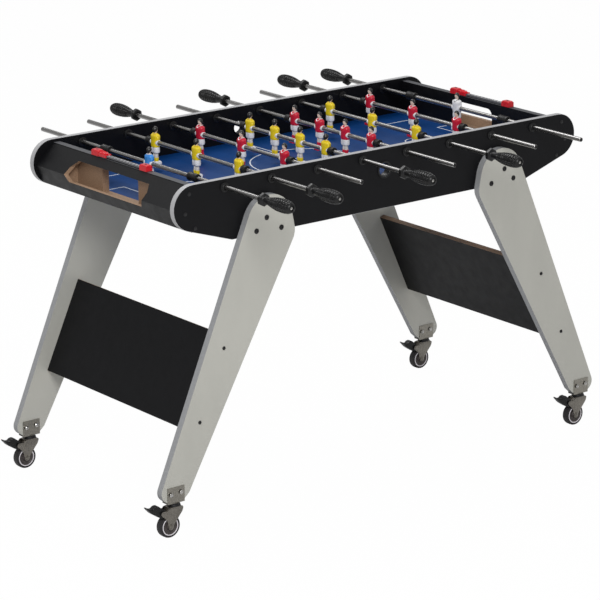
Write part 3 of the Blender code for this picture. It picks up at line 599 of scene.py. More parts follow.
def edge_band(way):
    """Thin banding glued round a side panel's edge, a hair proud of the board."""
    side = SIDES[way]
    low, high = sorted((side * (PANEL_INNER + 0.0003), side * (PANEL_OUTER - 0.0002)))
    path = panel_outline()
    band = strip(path, -0.0002, 0.0007, low, high)
    make(f"panel_band_{way}", "cabinet", [band], ["band"], sharp=30.0)


def bushings(way):
    """Rod bushings: a stepped flange outside the board and a flat one inside.

    The inner flange stays flat, clear of the stop ring at the end of its slide.
    """
    side = SIDES[way]
    outside = [(-0.0010, 0.0129), (0.0024, 0.0129), (0.0034, 0.0122), (0.0037, 0.0105),
               (0.0040, 0.0098), (0.0064, 0.0090), (0.0070, 0.0082), (0.0068, 0.0070),
               (0.0060, 0.00635), (-0.0010, 0.00635)]
    inside = [(-0.0010, 0.0128), (0.0028, 0.0128), (0.0031, 0.0124), (0.0031, 0.00635),
              (-0.0010, 0.00635)]
    patches = []
    for number in RODS:
        x, _, z = rod_centre(number)
        for face, out, flange in ((PANEL_OUTER, 1, outside), (PANEL_INNER, -1, inside)):
            patches.append(turned(flange, (x, side * face, z), sides=36, ring=True, flip=side * out))
    make(f"rod_bushings_{way}", "cabinet", patches, ["black"])


def ball_ring(way):
    """The black ring of the hole that the ball is dropped through, with its sleeve."""
    side = SIDES[way]
    bore = BALL_HOLE_RADIUS - 0.0004
    rim = BALL_HOLE_RADIUS + 0.0052
    profile = [(-0.0203, bore), (0.0010, bore), (0.0024, bore + 0.0007), (0.0029, bore + 0.0020),
               (0.0027, rim - 0.0009), (0.0015, rim), (-0.0006, rim), (-0.0008, BALL_HOLE_RADIUS + 0.0001),
               (-0.0203, BALL_HOLE_RADIUS - 0.0001)]
    ring = turned(profile, (MIDDLE_X, side * PANEL_OUTER, BALL_HOLE_Z), sides=48, ring=True, flip=side)
    make(f"ball_ring_{way}", "cabinet", [ring], ["black"])


def panel_screws(way):
    """Shallow plugs over the screws that hold the end boards to a side panel."""
    side = SIDES[way]
    plug = [(-0.0005, 0.0), (-0.0005, 0.0052), (0.0006, 0.0052), (0.0010, 0.0044), (0.0011, 0.0)]
    places = [(0.635, 0.892), (0.648, 0.842), (0.618, 0.800)]
    patches = [turned(plug, (MIDDLE_X + end * x, side * PANEL_OUTER, z), sides=24, flip=side)
               for end in ENDS.values() for x, z in places]
    make(f"panel_screw_caps_{way}", "cabinet", patches, ["bolt"])


def pitch_lines():
    """The white lines printed on the pitch, as thin bands of paint."""
    low, high = FIELD_TOP - 0.0002, FIELD_TOP + 0.00025
    half = 0.0016
    patches = []

    def line(points, closed=False):
        path = np.asarray(points, float) + [MIDDLE_X, 0.0]
        patches.append(strip(path, -half, half, low, high, axis="Z", closed=closed))

    def arc(cx, cy, radius, start, end, steps=40):
        angles = np.radians(np.linspace(start, end, steps))
        return np.stack([cx + radius * np.cos(angles), cy + radius * np.sin(angles)], -1)

    angles = 2 * np.pi * np.arange(96) / 96
    centre_radius, spot_radius, spot_reach = 0.157, 0.032, 0.39
    line(np.stack([centre_radius * np.cos(angles), centre_radius * np.sin(angles)], -1), closed=True)
    line([(0.0, -0.305), (0.0, -0.02), (0.0, 0.02), (0.0, 0.305)])
    line(arc(0.0, 0.0, 0.010, 0, 360))
    for end in ENDS.values():
        goal = end * (FIELD_HALF_LENGTH - 0.003)
        # The penalty area, then the goal area: how far out its front line is, and its half width.
        for reach, width in ((0.445, 0.215), (0.545, 0.092)):
            front = end * reach
            for side in SIDES.values():
                line([(goal, side * width), (front + end * half, side * width)])
            line([(front, -width - half), (front, 0.0), (front, width + half)])
        spot = 2 * np.pi * np.arange(40) / 40
        line(np.stack([end * spot_reach + spot_radius * np.cos(spot), spot_radius * np.sin(spot)], -1),
             closed=True)
    make("pitch_lines", "cabinet", patches, ["line"])


def ball_box_cheeks(name):
    """Raw boards across the ball box, cut to the apron's inside."""
    end = ENDS[name]
    low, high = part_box(f"goal_tray_{name}")
    inner = abs((low.x if end > 0 else high.x) - MIDDLE_X)
    floor = high.z
    shape = [(inner + 0.0003, floor + 0.0004), (0.6455, floor + 0.0004), (0.6625, 0.8500),
             (0.6595, 0.8545), (inner + 0.0003, 0.8905)]
    outline = np.array(shape) * [end, 1.0] + [MIDDLE_X, 0.0]
    patches = [plate(outline, side * 0.2015 - 0.005, side * 0.2015 + 0.005, 0.0004)
               for side in SIDES.values()]
    make(f"ball_box_cheeks_{name}", "cabinet", patches, ["raw"], sharp=25.0)


def counter_strip(name):
    """White numbers standing a hair proud of the counter's bar, past the slider's rest place."""
    low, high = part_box(f"scorer_bar_{name}")
    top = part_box(f"scorer_pointer_{name}")[1].z - 0.0025
    x, middle = (low.x + high.x) / 2, (low.y + high.y) / 2
    meshes = []
    for value in range(11):
        text = bpy.data.curves.new(f"digit_{name}_{value}", "FONT")
        text.body = str(value)
        text.size = 0.0105
        text.extrude = 0.00008
        text.align_x, text.align_y = "CENTER", "CENTER"
        holder = bpy.data.objects.new(text.name, text)
        bpy.context.scene.collection.objects.link(holder)
        bpy.context.view_layer.update()
        mesh = bpy.data.meshes.new_from_object(holder)
        bpy.data.objects.remove(holder)
        turn = Matrix.Rotation(math.radians(-90 * ENDS[name]), 4, "Z")
        mesh.transform(Matrix.Translation((x, middle + 0.0560 - 0.0140 * value, top + 0.0001)) @ turn)
        meshes.append(mesh)
    bm = bmesh.new()
    for mesh in meshes:
        bm.from_mesh(mesh)
    bmesh.ops.remove_doubles(bm, verts=bm.verts, dist=1e-7)
    bmesh.ops.recalc_face_normals(bm, faces=bm.faces)
    digits = bpy.data.meshes.new(f"counter_numbers_{name}")
    bm.to_mesh(digits)
    bm.free()
    digits.materials.clear()
    digits.materials.append(FINISHES["digit"])
    made = bpy.data.objects.new(f"counter_numbers_{name}", digits)
    bpy.context.scene.collection.objects.link(made)
    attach(made, "cabinet")


def counter_blocks(name):
    """Rounded caps over the counter's end blocks, and a screw in each."""
    low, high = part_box(f"scorer_bar_{name}")
    x, middle, half = (low.x + high.x) / 2, (low.y + high.y) / 2, (high.y - low.y) / 2
    caps, screws = [], []
    for side in SIDES.values():
        y = middle + side * (half - BLOCK_LENGTH / 2)
        rows = [(high.z - 0.0004, 0.0, 0.0098, 0.0148), (high.z + 0.0012, 0.0, 0.0097, 0.0146),
                (high.z + 0.0024, 0.0, 0.0088, 0.0136), (high.z + 0.0028, 0.0, 0.0060, 0.0105)]
        caps.append(loft(rows, (x, y, 0.0), square=6.0, count=40))
        head = [(0.0, 0.0), (0.0, 0.0030), (0.0010, 0.0026), (0.0014, 0.0016), (0.0008, 0.0010),
                (0.0008, 0.0)]
        screws.append(turned(head, (x, y, high.z + 0.0026), axis="Z", sides=20))
    make(f"counter_caps_{name}", "cabinet", caps, ["red"])
    make(f"counter_screws_{name}", "cabinet", screws, ["bolt"])


def counter_arrow(name):
    """The pointer's arrow-shaped finger grip on top of the slider, with ribs across it."""
    low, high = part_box(f"scorer_pointer_{name}")
    x, y, top = (low.x + high.x) / 2, (low.y + high.y) / 2, high.z
    points = [(-0.0078, 0.0155), (0.0078, 0.0155), (0.0082, 0.0040), (0.0060, 0.0005), (0.0088, -0.0020),
              (0.0030, -0.0120), (0.0, -0.0165), (-0.0030, -0.0120), (-0.0088, -0.0020), (-0.0060, 0.0005),
              (-0.0082, 0.0040)]
    outline = closed_curve(points, 4) + [x, y]
    patches = [plate(outline, top - 0.0004, top + 0.0034, 0.0009, axis="Z", middle=(x, y + 0.001))]
    for k in range(3):
        ridge = [(top + 0.0030, 0.0, 0.0068, 0.0014), (top + 0.0044, 0.0, 0.0064, 0.0010),
                 (top + 0.0050, 0.0, 0.0056, 0.0005)]
        patches.append(loft(ridge, (x, y + 0.0060 + 0.0036 * (k - 1), 0.0), square=3.0, count=28))
    make(f"pointer_arrow_{name}", f"pointer_{name}", patches, ["red"])


# Legs and fasteners ------------------------------------------------------------------


def bolt_head(centre, radius, side, tone=0):
    """A low domed head with a washer under it and a round socket in the middle."""
    shape = [(-0.0004, 0.0), (-0.0004, 1.0), (0.0008, 1.0), (0.0011, 0.93), (0.0012, 0.80),
             (0.0024, 0.74), (0.0031, 0.55), (0.0032, 0.36), (0.0016, 0.33), (0.0015, 0.0)]
    profile = np.array(shape) * [1.0, radius]
    return turned(profile, centre, sides=28, tone=tone, flip=side)


def leg_bolts(corner):
    """Three bolts through a leg's head and two smaller ones into the stretcher."""
    way, name = corner.split("_")
    side, end = SIDES[way], ENDS[name]
    large = [(0.407, 0.798), (0.360, 0.764), (0.440, 0.767)]
    small = [(0.549, 0.4755), (0.629, 0.2918)]
    patches = [bolt_head((MIDDLE_X + end * x, side * LEG_OUTER, z), 0.0072, side) for x, z in large]
    patches += [bolt_head((MIDDLE_X + end * x, side * LEG_OUTER, z), 0.0050, side) for x, z in small]
    make(f"leg_bolts_{corner}", "cabinet", patches, ["bolt"])


# Rods ---------------------------------------------------------------------------------


def head(origin, facing, hair_tone, skin_tone):
    """A plain moulded head: brow, nose and chin swell the front, and hair caps the back."""
    x, y, z = origin
    centre = (x + facing * 0.0004, y, z + 0.0342)

    def features(direction):
        ahead = direction[..., 0] * facing
        bumps = ((-0.02, 0.13, 0.16), (-0.50, 0.07, 0.22), (0.34, 0.04, 0.30))
        swelling = np.ones(direction.shape[:2])
        for level, height, spread in bumps:
            gap = ((direction[..., 1] / (spread * 1.2)) ** 2 + ((direction[..., 2] - level) / spread) ** 2)
            swelling += np.where(ahead > 0, height * np.exp(-gap), 0.0)
        return swelling

    skull = ball(centre, (0.0067, 0.0058, 0.0082), skin_tone, 18, 28, features)
    c, s = circle(28)
    # The hairline sits high over the brow and low at the nape.
    edge = np.radians(102 - 42 * c * facing)
    share = np.linspace(0, 1, 9)[:, None]
    sheets = []
    for swell in (1.12, 0.96):
        u = share * edge
        cap = np.stack([np.sin(u) * c * 0.0071, np.sin(u) * s * 0.0062, np.cos(u) * 0.0086], -1)
        sheets.append(np.asarray(centre) + cap * swell)
    hair = patch(np.concatenate([sheets[0], sheets[1][::-1]]), hair_tone)
    ears = [ball((centre[0] - facing * 0.0006, y + side * 0.0058, z + 0.0338), (0.0012, 0.0009, 0.0018),
                 skin_tone, 6, 10) for side in (-1, 1)]
    eyes = [ball((centre[0] + facing * 0.0060, y + side * 0.0022, z + 0.0353), (0.0006, 0.0007, 0.0006),
                 hair_tone, 6, 10) for side in (-1, 1)]
    return [skull, hair, *ears, *eyes]


def man(number, index, place):
    """One player: boots on the striking foot, socks, legs, shorts, shirt, arms and head."""
    _, facing, _, team = LINE_UP[number]
    x, shift, z = rod_centre(number)
    origin = (x, shift + place, z)
    shirt, collar, sleeve, shorts, sock, boot = KITS[team]
    finishes = [shirt, collar, sleeve, shorts, sock, boot, "pale", "skin", "hair"]

    def part(rows, tone, steps=4, **form):
        return loft(smooth_rows(rows, steps), origin, tone, facing=facing, **form)

    shirt_rows = [(-0.0125, 0.0, 0.0092, 0.0128), (-0.0080, 0.0, 0.0099, 0.0134),
                  (0.0040, 0.0004, 0.0099, 0.0134), (0.0130, 0.0006, 0.0101, 0.0148),
                  (0.0185, 0.0003, 0.0094, 0.0152), (0.0222, 0.0, 0.0072, 0.0120),
                  (0.0250, 0.0, 0.0048, 0.0062)]
    shorts_rows = [(-0.0280, 0.0, 0.0082, 0.0130), (-0.0245, 0.0, 0.0090, 0.0136),
                   (-0.0170, 0.0, 0.0094, 0.0132), (-0.0115, 0.0, 0.0088, 0.0124)]
    leg_rows = [(-0.0445, 0.0, 0.0054, 0.0086), (-0.0380, -0.0004, 0.0062, 0.0094),
                (-0.0320, 0.0, 0.0055, 0.0090), (-0.0225, 0.0002, 0.0066, 0.0106)]
    sock_rows = [(-0.0560, 0.0006, 0.0066, 0.0094), (-0.0500, 0.0, 0.0064, 0.0095),
                 (-0.0440, -0.0004, 0.0070, 0.0099), (-0.0418, -0.0004, 0.0070, 0.0099)]
    boot_rows = [(-0.0630, 0.0046, 0.0094, 0.0098), (-0.0618, 0.0046, 0.0104, 0.0104),
                 (-0.0560, 0.0042, 0.0108, 0.0105), (-0.0528, 0.0030, 0.0092, 0.0100),
                 (-0.0516, 0.0014, 0.0072, 0.0094)]
    neck_rows = [(0.0225, 0.0, 0.0038, 0.0040), (0.0290, 0.0004, 0.0038, 0.0038)]
    patches = [
        part(shirt_rows, 0, square=2.6), part(shorts_rows, 3, square=2.6, crease=0.18),
        part(leg_rows, 6, square=2.3, crease=0.42), part(sock_rows, 4, square=2.4, crease=0.36),
        part(boot_rows, 5, square=4.5, crease=0.10), part(neck_rows, 7, square=2.0),
    ]
    # The collar is a ring round the neck that dips to a V in front.
    c, s = circle(24)
    dip = np.clip(c, 0, 1) ** 3
    ring = np.stack([facing * (0.0004 + 0.0058 * c + 0.0032 * dip), 0.0072 * s, 0.0246 - 0.0062 * dip], -1)
    outward = np.stack([facing * c, s, 0.25 + 0 * c], -1)
    section = [(-0.0014, 0.0), (0.0, 0.0013), (0.0016, 0.0), (0.0, -0.0015)]
    rows = [ring + outward * a + np.array([0, 0, 1.0]) * b for a, b in section]
    patches.append(patch(np.stack(rows) + np.asarray(origin), 1, ring=True))
    for side in (-1, 1):
        upper = [(0.0, side * 0.0120, 0.0170), (-0.0014, side * 0.0128, 0.0120),
                 (-0.0020, side * 0.0130, 0.0070)]
        lower = [(-0.0020, side * 0.0130, 0.0085), (-0.0012, side * 0.0131, 0.0035),
                 (0.0024, side * 0.0128, -0.0010), (0.0056, side * 0.0124, -0.0034)]
        sleeve_radii = (0.0036, 0.0037, 0.0035)
        forearm_radii = (0.0033, 0.0032, 0.0030, 0.0026)
        for points, radii, tone in ((upper, sleeve_radii, 0), (lower, forearm_radii, 2)):
            table = np.hstack([np.array(points) * [facing, 1, 1], np.array(radii)[:, None]])
            rows = smooth_rows(table, 4)
            patches.append(tube(rows[:, :3] + np.asarray(origin), rows[:, 3], tone))
        hub = [(0.0095, 0.0), (0.0095, 0.0078), (0.0155, 0.0078), (0.0163, 0.0070), (0.0163, 0.0)]
        patches.append(turned(hub, origin, sides=24, tone=2, flip=side))
    patches += head(origin, facing, 8, 7)
    make(f"rod_{number}_man_{index}", f"rod_{number}", patches, finishes)


def stop_ring(name, body, x, y_start, y_end, z, replaces=()):
    """A rubber buffer: rounded shoulders, a waist groove, and a bore round the rod."""
    low, high = sorted((y_start, y_end))
    length = high - low
    radius, bore = 0.0117, ROD_RADIUS + 0.0002
    profile = [(0.0, bore), (0.0, radius - 0.0016), (0.0006, radius - 0.0004), (0.0016, radius),
               (0.22 * length, radius), (0.26 * length, radius - 0.0009), (0.74 * length, radius - 0.0009),
               (0.78 * length, radius), (length - 0.0016, radius), (length - 0.0006, radius - 0.0004),
               (length, radius - 0.0016), (length, bore)]
    make(name, body, [turned(profile, (x, low, z), sides=36, ring=True)], ["rubber"],
         replaces=replaces)


def grip(number):
    """A moulded handle: six-sided collar, slim neck and a bulb cut into square tiles.

    Along the grip (a) and round it (v), the radius is the profile's, drawn out to a hexagon
    at the collar and sunk by shallow grooves at even steps of a and v on the bulb.
    """
    side = LINE_UP[number][2]
    x, shift, z = rod_centre(number)
    low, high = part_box(f"handle_{number}")
    start = min(abs(low.y - shift), abs(high.y - shift))
    length = high.y - low.y
    rows = [(0.0000, 0.0105), (0.0006, 0.0122), (0.0022, 0.0150), (0.0050, 0.0158), (0.0100, 0.0156),
            (0.0132, 0.0148), (0.0158, 0.0112), (0.0185, 0.0093), (0.0260, 0.0096), (0.0360, 0.0112),
            (0.0500, 0.0142), (0.0660, 0.0168), (0.0820, 0.0180), (0.0960, 0.0180), (0.1080, 0.0166),
            (0.1160, 0.0146), (0.1210, 0.0122), (0.1236, 0.0098), (0.1240, 0.0078)]
    spread = smooth_rows(rows, 14)
    spread[:, 0] *= length / rows[-1][0]
    v = 2 * np.pi * np.arange(120) / 120
    along, radius = spread[:, 0][:, None], spread[:, 1][:, None]
    collar = np.exp(-((along - 0.0080) / 0.0066) ** 4)
    wedge = np.mod(v + np.pi / 6, np.pi / 3) - np.pi / 6
    hexagon = (1.0 / np.cos(wedge)) ** 0.85
    radius = radius * (1 + collar * (hexagon - 1))
    on_bulb = 1 / (1 + np.exp(-(along - 0.0385) / 0.0012)) / (1 + np.exp((along - 0.1155) / 0.0012))
    pitch, tiles = 0.0088, 10
    across = np.abs(np.mod(along / pitch + 0.5, 1) - 0.5) * pitch
    around = np.abs(np.mod(v / (2 * np.pi) * tiles + 0.5, 1) - 0.5) * 2 * np.pi / tiles * radius
    groove = 0.0022 * np.maximum(np.exp(-(across / 0.0014) ** 4), np.exp(-(around / 0.0014) ** 4))
    radius = radius - groove * on_bulb
    shell = np.stack([radius * np.cos(v), np.broadcast_to(along, radius.shape), radius * np.sin(v)], -1)
    c, s = np.cos(v), np.sin(v)

    def ring(a, r):
        return np.stack([r * c, np.full_like(c, a), r * s], -1)[None]

    recess = [ring(length - 0.0006, 0.0070), ring(length - 0.0034, 0.0064), ring(length - 0.0034, 0.0)]
    mouth = [ring(0.030, ROD_RADIUS + 0.0002), ring(0.0, ROD_RADIUS + 0.0002)]
    body = np.concatenate([ring(0.030, 0.0), *mouth, shell, *recess])
    body[..., 1] = side * (body[..., 1] + start)
    place = np.array([x, shift, z])
    make(f"rod_{number}_grip", f"rod_{number}", [patch(body + place)], ["grip"],
         replaces=[f"handle_{number}"], sharp=42.0)
    screw = [(0.0, 0.0), (0.0, 0.0040), (0.0012, 0.0038), (0.0018, 0.0026), (0.0018, 0.0013),
             (0.0010, 0.0010), (0.0010, 0.0)]
    middle = place + [0.0, side * (start + length - 0.0034), 0.0]
    make(f"rod_{number}_grip_screw", f"rod_{number}", [turned(screw, middle, sides=24, flip=side)],
         ["polished"])


def rod(number):
    """One rod: drawn tube, end plug, its men, both stop rings and the handle."""
    count, _, side, _ = LINE_UP[number]
    x, shift, z = rod_centre(number)
    ring_low, ring_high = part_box(f"stop_ring_{number}")
    near, far = abs(ring_high.y - shift), abs(ring_low.y - shift)
    low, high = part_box(f"player_rod_{number}")
    plain = (low.y if side > 0 else high.y) - shift
    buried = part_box(f"handle_{number}")[0 if side > 0 else 1].y - shift + side * 0.029
    chamfer = 0.0008
    ends = np.array([[plain, 0.0], [plain, ROD_RADIUS - chamfer],
                     [plain - math.copysign(chamfer, plain), ROD_RADIUS],
                     [buried, ROD_RADIUS], [buried, 0.0]])
    steel = turned(ends, (x, shift, z), sides=32, tone=0)
    out = math.copysign(1.0, plain)
    cap = [(-0.0005, 0.0), (-0.0005, 0.0049), (0.0004, 0.0049), (0.0007, 0.0040), (0.0002, 0.0030),
           (0.0002, 0.0)]
    plug = turned(cap, (x, shift + plain, z), sides=28, tone=1, flip=out)
    make(f"rod_{number}_tube", f"rod_{number}", [steel, plug], ["rod", "black"],
         replaces=[f"player_rod_{number}"])
    for index, k in enumerate(range(count), start=1):
        man(number, index, (k - (count - 1) / 2) * SPACING[count])
    stop_ring(f"rod_{number}_near_ring", f"rod_{number}_carriage", x, shift - near, shift - far, z,
              [f"stop_ring_{number}"])
    stop_ring(f"rod_{number}_far_ring", f"rod_{number}", x, shift + near, shift + far, z)
    grip(number)


# Casters ---------------------------------------------------------------------------------


def caster_wheel(corner):
    """A wheel turned in one piece per material: tyre, pale ring, dished hub and its boss."""
    _, axle, _ = caster_places(corner)
    bore = 0.0042
    tyre = [(-0.0098, 0.0240), (-0.0104, 0.0256), (-0.0104, 0.0280), (-0.0094, 0.0300), (-0.0072, 0.0308),
            (-0.0034, 0.0310), (0.0034, 0.0310), (0.0072, 0.0308), (0.0094, 0.0300), (0.0104, 0.0280),
            (0.0104, 0.0256), (0.0098, 0.0240)]
    patches = [turned(tyre, axle, sides=64, tone=0, ring=True)]
    for face in (-1, 1):
        pale = [(0.0070, 0.0218), (0.0102, 0.0218), (0.0107, 0.0223), (0.0107, 0.0239), (0.0102, 0.0244),
                (0.0070, 0.0244)]
        patches.append(turned(pale, axle, sides=64, tone=1, ring=True, flip=face))
        hub = [(0.0, bore), (0.0114, bore), (0.0114, 0.0078), (0.0098, 0.0092), (0.0070, 0.0106),
               (0.0068, 0.0170), (0.0088, 0.0196), (0.0098, 0.0220), (0.0, 0.0220)]
        patches.append(turned(hub, axle, sides=64, tone=2, ring=True, flip=face))
    make(f"caster_{corner}_tyre_and_hub", f"caster_wheel_{corner}", patches, ["tyre", "wheel_ring", "hub"],
         replaces=[f"caster_wheel_{corner}"])


def caster_fork(corner):
    """A pressed fork: two teardrop arms under a domed crown, with axle nuts and pedal pin."""
    swivel, axle, pin = caster_places(corner)
    low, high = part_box(f"caster_fork_{corner}")
    half = (high.y - low.y) / 2 - 0.0015
    top = high.z
    sx, sy = swivel[0], swivel[1]
    ax, az = axle[0], axle[2]
    points = [(sx + 0.0165, top - 0.0012), (sx + 0.0182, top - 0.0130), (sx + 0.0085, top - 0.0260),
              (ax + 0.0105, az + 0.0060), (ax + 0.0072, az - 0.0050), (ax + 0.0004, az - 0.0088),
              (ax - 0.0064, az - 0.0054), (ax - 0.0092, az + 0.0050), (ax - 0.0140, az + 0.0210),
              (pin[0] - 0.0052, pin[2] - 0.0050), (pin[0] - 0.0058, pin[2] + 0.0022),
              (pin[0] - 0.0010, pin[2] + 0.0058), (sx - 0.0280, top - 0.0062), (sx - 0.0200, top - 0.0012)]
    outline = closed_curve(points, 6)
    middle = (sx - 0.0120, top - 0.0230)
    patches = []
    for side in (-1, 1):
        inner, outer = sorted((sy + side * (half - 0.0020), sy + side * half))
        patches.append(plate(outline, inner, outer, 0.0005, middle=middle))
    v = 2 * np.pi * np.arange(48) / 48
    crown = np.stack([sx - 0.0020 + 0.0190 * np.sign(np.cos(v)) * np.abs(np.cos(v)) ** 0.5,
                      sy + (half - 0.0001) * np.sign(np.sin(v)) * np.abs(np.sin(v)) ** 0.35], -1)
    patches.append(plate(crown, top - 0.0022, top - 0.0001, 0.0006, axis="Z"))
    dome = [(-0.0032, 0.0), (-0.0032, 0.0135), (-0.0010, 0.0150), (0.0001, 0.0150), (0.0001, 0.0)]
    patches.append(turned(dome, (sx, sy, top), axis="Z", sides=48))
    for side in (-1, 1):
        face = sy + side * half
        nut = [(-0.0010, 0.0), (-0.0010, 0.0062), (0.0014, 0.0062), (0.0022, 0.0048), (0.0024, 0.0030),
               (0.0034, 0.0026), (0.0036, 0.0)]
        patches.append(turned(nut, (ax, face, az), sides=6 if side > 0 else 28, flip=side))
        rivet = [(-0.0008, 0.0), (-0.0008, 0.0030), (0.0008, 0.0028), (0.0014, 0.0016), (0.0015, 0.0)]
        patches.append(turned(rivet, (pin[0], face, pin[2]), sides=20, flip=side))
    reach = half - 0.0005
    for px, pz, radius in ((ax, az, 0.0038), (pin[0], pin[2], 0.0024)):
        patches.append(turned([(-reach, 0.0), (-reach, radius), (reach, radius), (reach, 0.0)],
                              (px, sy, pz), sides=24))
    make(f"caster_{corner}_fork", f"caster_swivel_{corner}", patches, ["fork"],
         replaces=[f"caster_fork_{corner}"], sharp=32.0)


def caster_pedal(corner):
    """The brake pedal: a humped lever with a turned-up toe plate, ribbed across its hump."""
    _, _, pin = caster_places(corner)
    low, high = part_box(f"caster_pedal_{corner}")
    points = [(0.0085, 0.0045), (0.0010, 0.0118), (-0.0110, 0.0204), (-0.0200, 0.0212), (-0.0275, 0.0168),
              (-0.0350, 0.0178), (-0.0435, 0.0222), (-0.0453, 0.0204), (-0.0390, 0.0128), (-0.0310, 0.0048),
              (-0.0160, -0.0056), (-0.0040, -0.0126), (0.0012, -0.0146), (0.0058, -0.0118), (0.0078, -0.0040)]
    outline = closed_curve(points, 5) + [pin[0], pin[2]]
    body = plate(outline, low.y + 0.0002, high.y - 0.0002, 0.0014, middle=(pin[0] - 0.012, pin[2] + 0.006))
    patches = [body]
    for k in range(5):
        angle = math.radians(52 + 19 * k)
        x, z = pin[0] - 0.0150 + 0.0092 * math.cos(angle), pin[2] + 0.0120 + 0.0094 * math.sin(angle)
        rib = [(x, low.y + 0.0014, z), (x, (low.y + high.y) / 2, z), (x, high.y - 0.0014, z)]
        patches.append(tube(rib, 0.0008, count=10))
    make(f"caster_{corner}_pedal", f"caster_brake_{corner}", patches, ["black"],
         replaces=[f"caster_pedal_{corner}"])


def bracket_fittings(corner):
    """Two domed bolts on each cheek of the bracket and the dark bearing dish under it."""
    swivel, _, _ = caster_places(corner)
    low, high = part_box(f"caster_bracket_{corner}")
    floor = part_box(f"leg_{corner}")[0].z - 0.0023
    patches = []
    for side in SIDES.values():
        face = high.y if side > 0 else low.y
        for across, height in ((-0.0165, high.z - 0.0185), (0.0150, high.z - 0.0160)):
            shape = [(-0.0003, 0.0), (-0.0003, 0.0058), (0.0009, 0.0058), (0.0014, 0.0050), (0.0026, 0.0040),
                     (0.0032, 0.0024), (0.0034, 0.0)]
            patches.append(turned(shape, (swivel[0] + across, face, height), sides=28, flip=side))
    make(f"caster_{corner}_bolts", "cabinet", patches, ["polished"])
    top = swivel[2]
    dish = [(top + 0.0004, 0.0152), (top + 0.0004, 0.0172), (top + 0.0022, 0.0178), (top + 0.0040, 0.0172),
            (top + 0.0048, 0.0160), (floor, 0.0158), (floor, 0.0152)]
    ring = turned(dish, (swivel[0], swivel[1], 0.0), axis="Z", sides=48, ring=True)
    make(f"caster_{corner}_race", "cabinet", [ring], ["black"])


# Assembly ---------------------------------------------------------------------------------


def dress_frame():
    """Finishes for the CAD nodes that stay in view."""
    for way in SIDES:
        refinish(f"side_panel_{way}", FINISHES["side_panel"])
    refinish("playfield", FINISHES["field"])
    refinish("playfield_brace", FINISHES["raw"])
    for name, end in ENDS.items():
        refinish(f"end_wall_{name}", end_wall_finish(end))
        refinish(f"end_apron_{name}", end_apron_finish(end))
        refinish(f"leg_stretcher_{name}", stretcher_finish(end))
        refinish(f"goal_tray_{name}", tray_finish(end))
        refinish(f"scorer_bar_{name}", bar_finish(name))
        refinish(f"scorer_pointer_{name}", FINISHES["red"])
    for corner in CORNERS:
        refinish(f"leg_{corner}", FINISHES["leg"])
        refinish(f"caster_bracket_{corner}", FINISHES["plate"])


def build():
    """Every finish and every added piece, cabinet first, then casters, then rods."""
    dress_frame()
    for way in SIDES:
        edge_band(way)
        bushings(way)
        ball_ring(way)
        panel_screws(way)
    pitch_lines()
    for name in ENDS:
        ball_box_cheeks(name)
        counter_strip(name)
        counter_blocks(name)
        counter_arrow(name)
    for corner in CORNERS:
        leg_bolts(corner)
        caster_wheel(corner)
        caster_fork(corner)
        caster_pedal(corner)
        bracket_fittings(corner)
    for number in RODS:
        rod(number)


# Floor, light and camera ---------------------------------------------------------------------


def floor():
    """A wide pale floor that turns white in plain view but keeps the table's shadow."""
    size = 30.0
    mesh = bpy.data.meshes.new("floor")
    corners = [(-size, -size, 0), (size, -size, 0), (size, size, 0), (-size, size, 0)]
    mesh.from_pydata(corners, [], [(0, 1, 2, 3)])
    material = bpy.data.materials.new("floor_pale")
    material.use_nodes = True
    nodes, links = material.node_tree.nodes, material.node_tree.links
    shader = nodes["Principled BSDF"]
    shader.inputs["Base Color"].default_value = (0.80, 0.80, 0.80, 1.0)
    shader.inputs["Roughness"].default_value = 0.9
    shader.inputs["Specular IOR Level"].default_value = 0.1
    glow = nodes.new("ShaderNodeEmission")
    glow.inputs["Strength"].default_value = 1.0
    path = nodes.new("ShaderNodeLightPath")
    part = nodes.new("ShaderNodeMath")
    part.operation = "MULTIPLY"
    part.inputs[1].default_value = 0.985
    blend = nodes.new("ShaderNodeMixShader")
    links.new(path.outputs["Is Camera Ray"], part.inputs[0])
    links.new(part.outputs[0], blend.inputs[0])
    links.new(shader.outputs[0], blend.inputs[1])
    links.new(glow.outputs[0], blend.inputs[2])
    links.new(blend.outputs[0], nodes["Material Output"].inputs["Surface"])
    mesh.materials.append(material)
    made = bpy.data.objects.new("floor", mesh)
    bpy.context.scene.collection.objects.link(made)


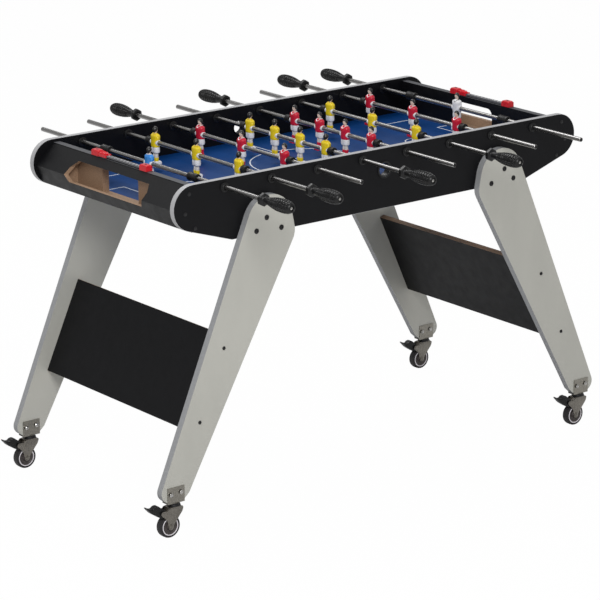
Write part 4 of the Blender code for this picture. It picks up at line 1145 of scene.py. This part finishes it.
def lamp(name, place, target, size, power):
    """A round soft light at place, aimed at target."""
    light = bpy.data.lights.new(name, "AREA")
    light.shape = "DISK"
    light.size = size
    light.energy = power
    holder = bpy.data.objects.new(name, light)
    aim = Matrix.Translation(place) @ (
        (Matrix.Translation(target).translation - Matrix.Translation(place).translation)
        .to_track_quat("-Z", "Y").to_matrix().to_4x4())
    holder.matrix_world = aim
    bpy.context.scene.collection.objects.link(holder)


def studio():
    """An even pale room with a key light to the left, a weak fill and a light from above."""
    world = bpy.data.worlds.new("studio")
    bpy.context.scene.world = world
    world.use_nodes = True
    background = world.node_tree.nodes["Background"]
    background.inputs["Color"].default_value = (1.0, 1.0, 1.0, 1.0)
    background.inputs["Strength"].default_value = 0.42
    lamp("key", (-2.6, -3.4, 3.6), (0.0, 0.0, 0.6), 2.2, 150.0)
    lamp("fill", (3.6, -2.2, 2.6), (0.0, 0.0, 0.6), 2.6, 4.0)
    lamp("top", (0.3, 1.8, 4.2), (0.0, 0.0, 0.8), 2.4, 80.0)


def camera():
    """A long lens in front and to the left, a little above the table."""
    azimuth, elevation, roll = np.radians((-37.826, 16.477, -0.4136))
    distance, aside, lift = 7.9891, -0.0225, -0.0756
    back = np.array([np.sin(azimuth) * np.cos(elevation), -np.cos(azimuth) * np.cos(elevation),
                     np.sin(elevation)])
    level = np.cross((0.0, 0.0, 1.0), back)
    level /= np.linalg.norm(level)
    upright = np.cross(back, level)
    right = np.cos(roll) * level + np.sin(roll) * upright
    up = -np.sin(roll) * level + np.cos(roll) * upright
    place = back * distance + right * aside + up * lift + [MIDDLE_X, 0.0, 0.5]
    data = bpy.data.cameras.new("camera")
    data.sensor_width = 36.0
    data.lens = 173.58
    data.clip_end = 100.0
    holder = bpy.data.objects.new("camera", data)
    matrix = np.eye(4)
    matrix[:3, 0], matrix[:3, 1], matrix[:3, 2], matrix[:3, 3] = right, up, back, place
    holder.matrix_world = Matrix(matrix.tolist())
    bpy.context.scene.collection.objects.link(holder)
    bpy.context.scene.camera = holder


camera()
build()
floor()
studio()
bpy.context.scene.view_settings.view_transform = "Standard"
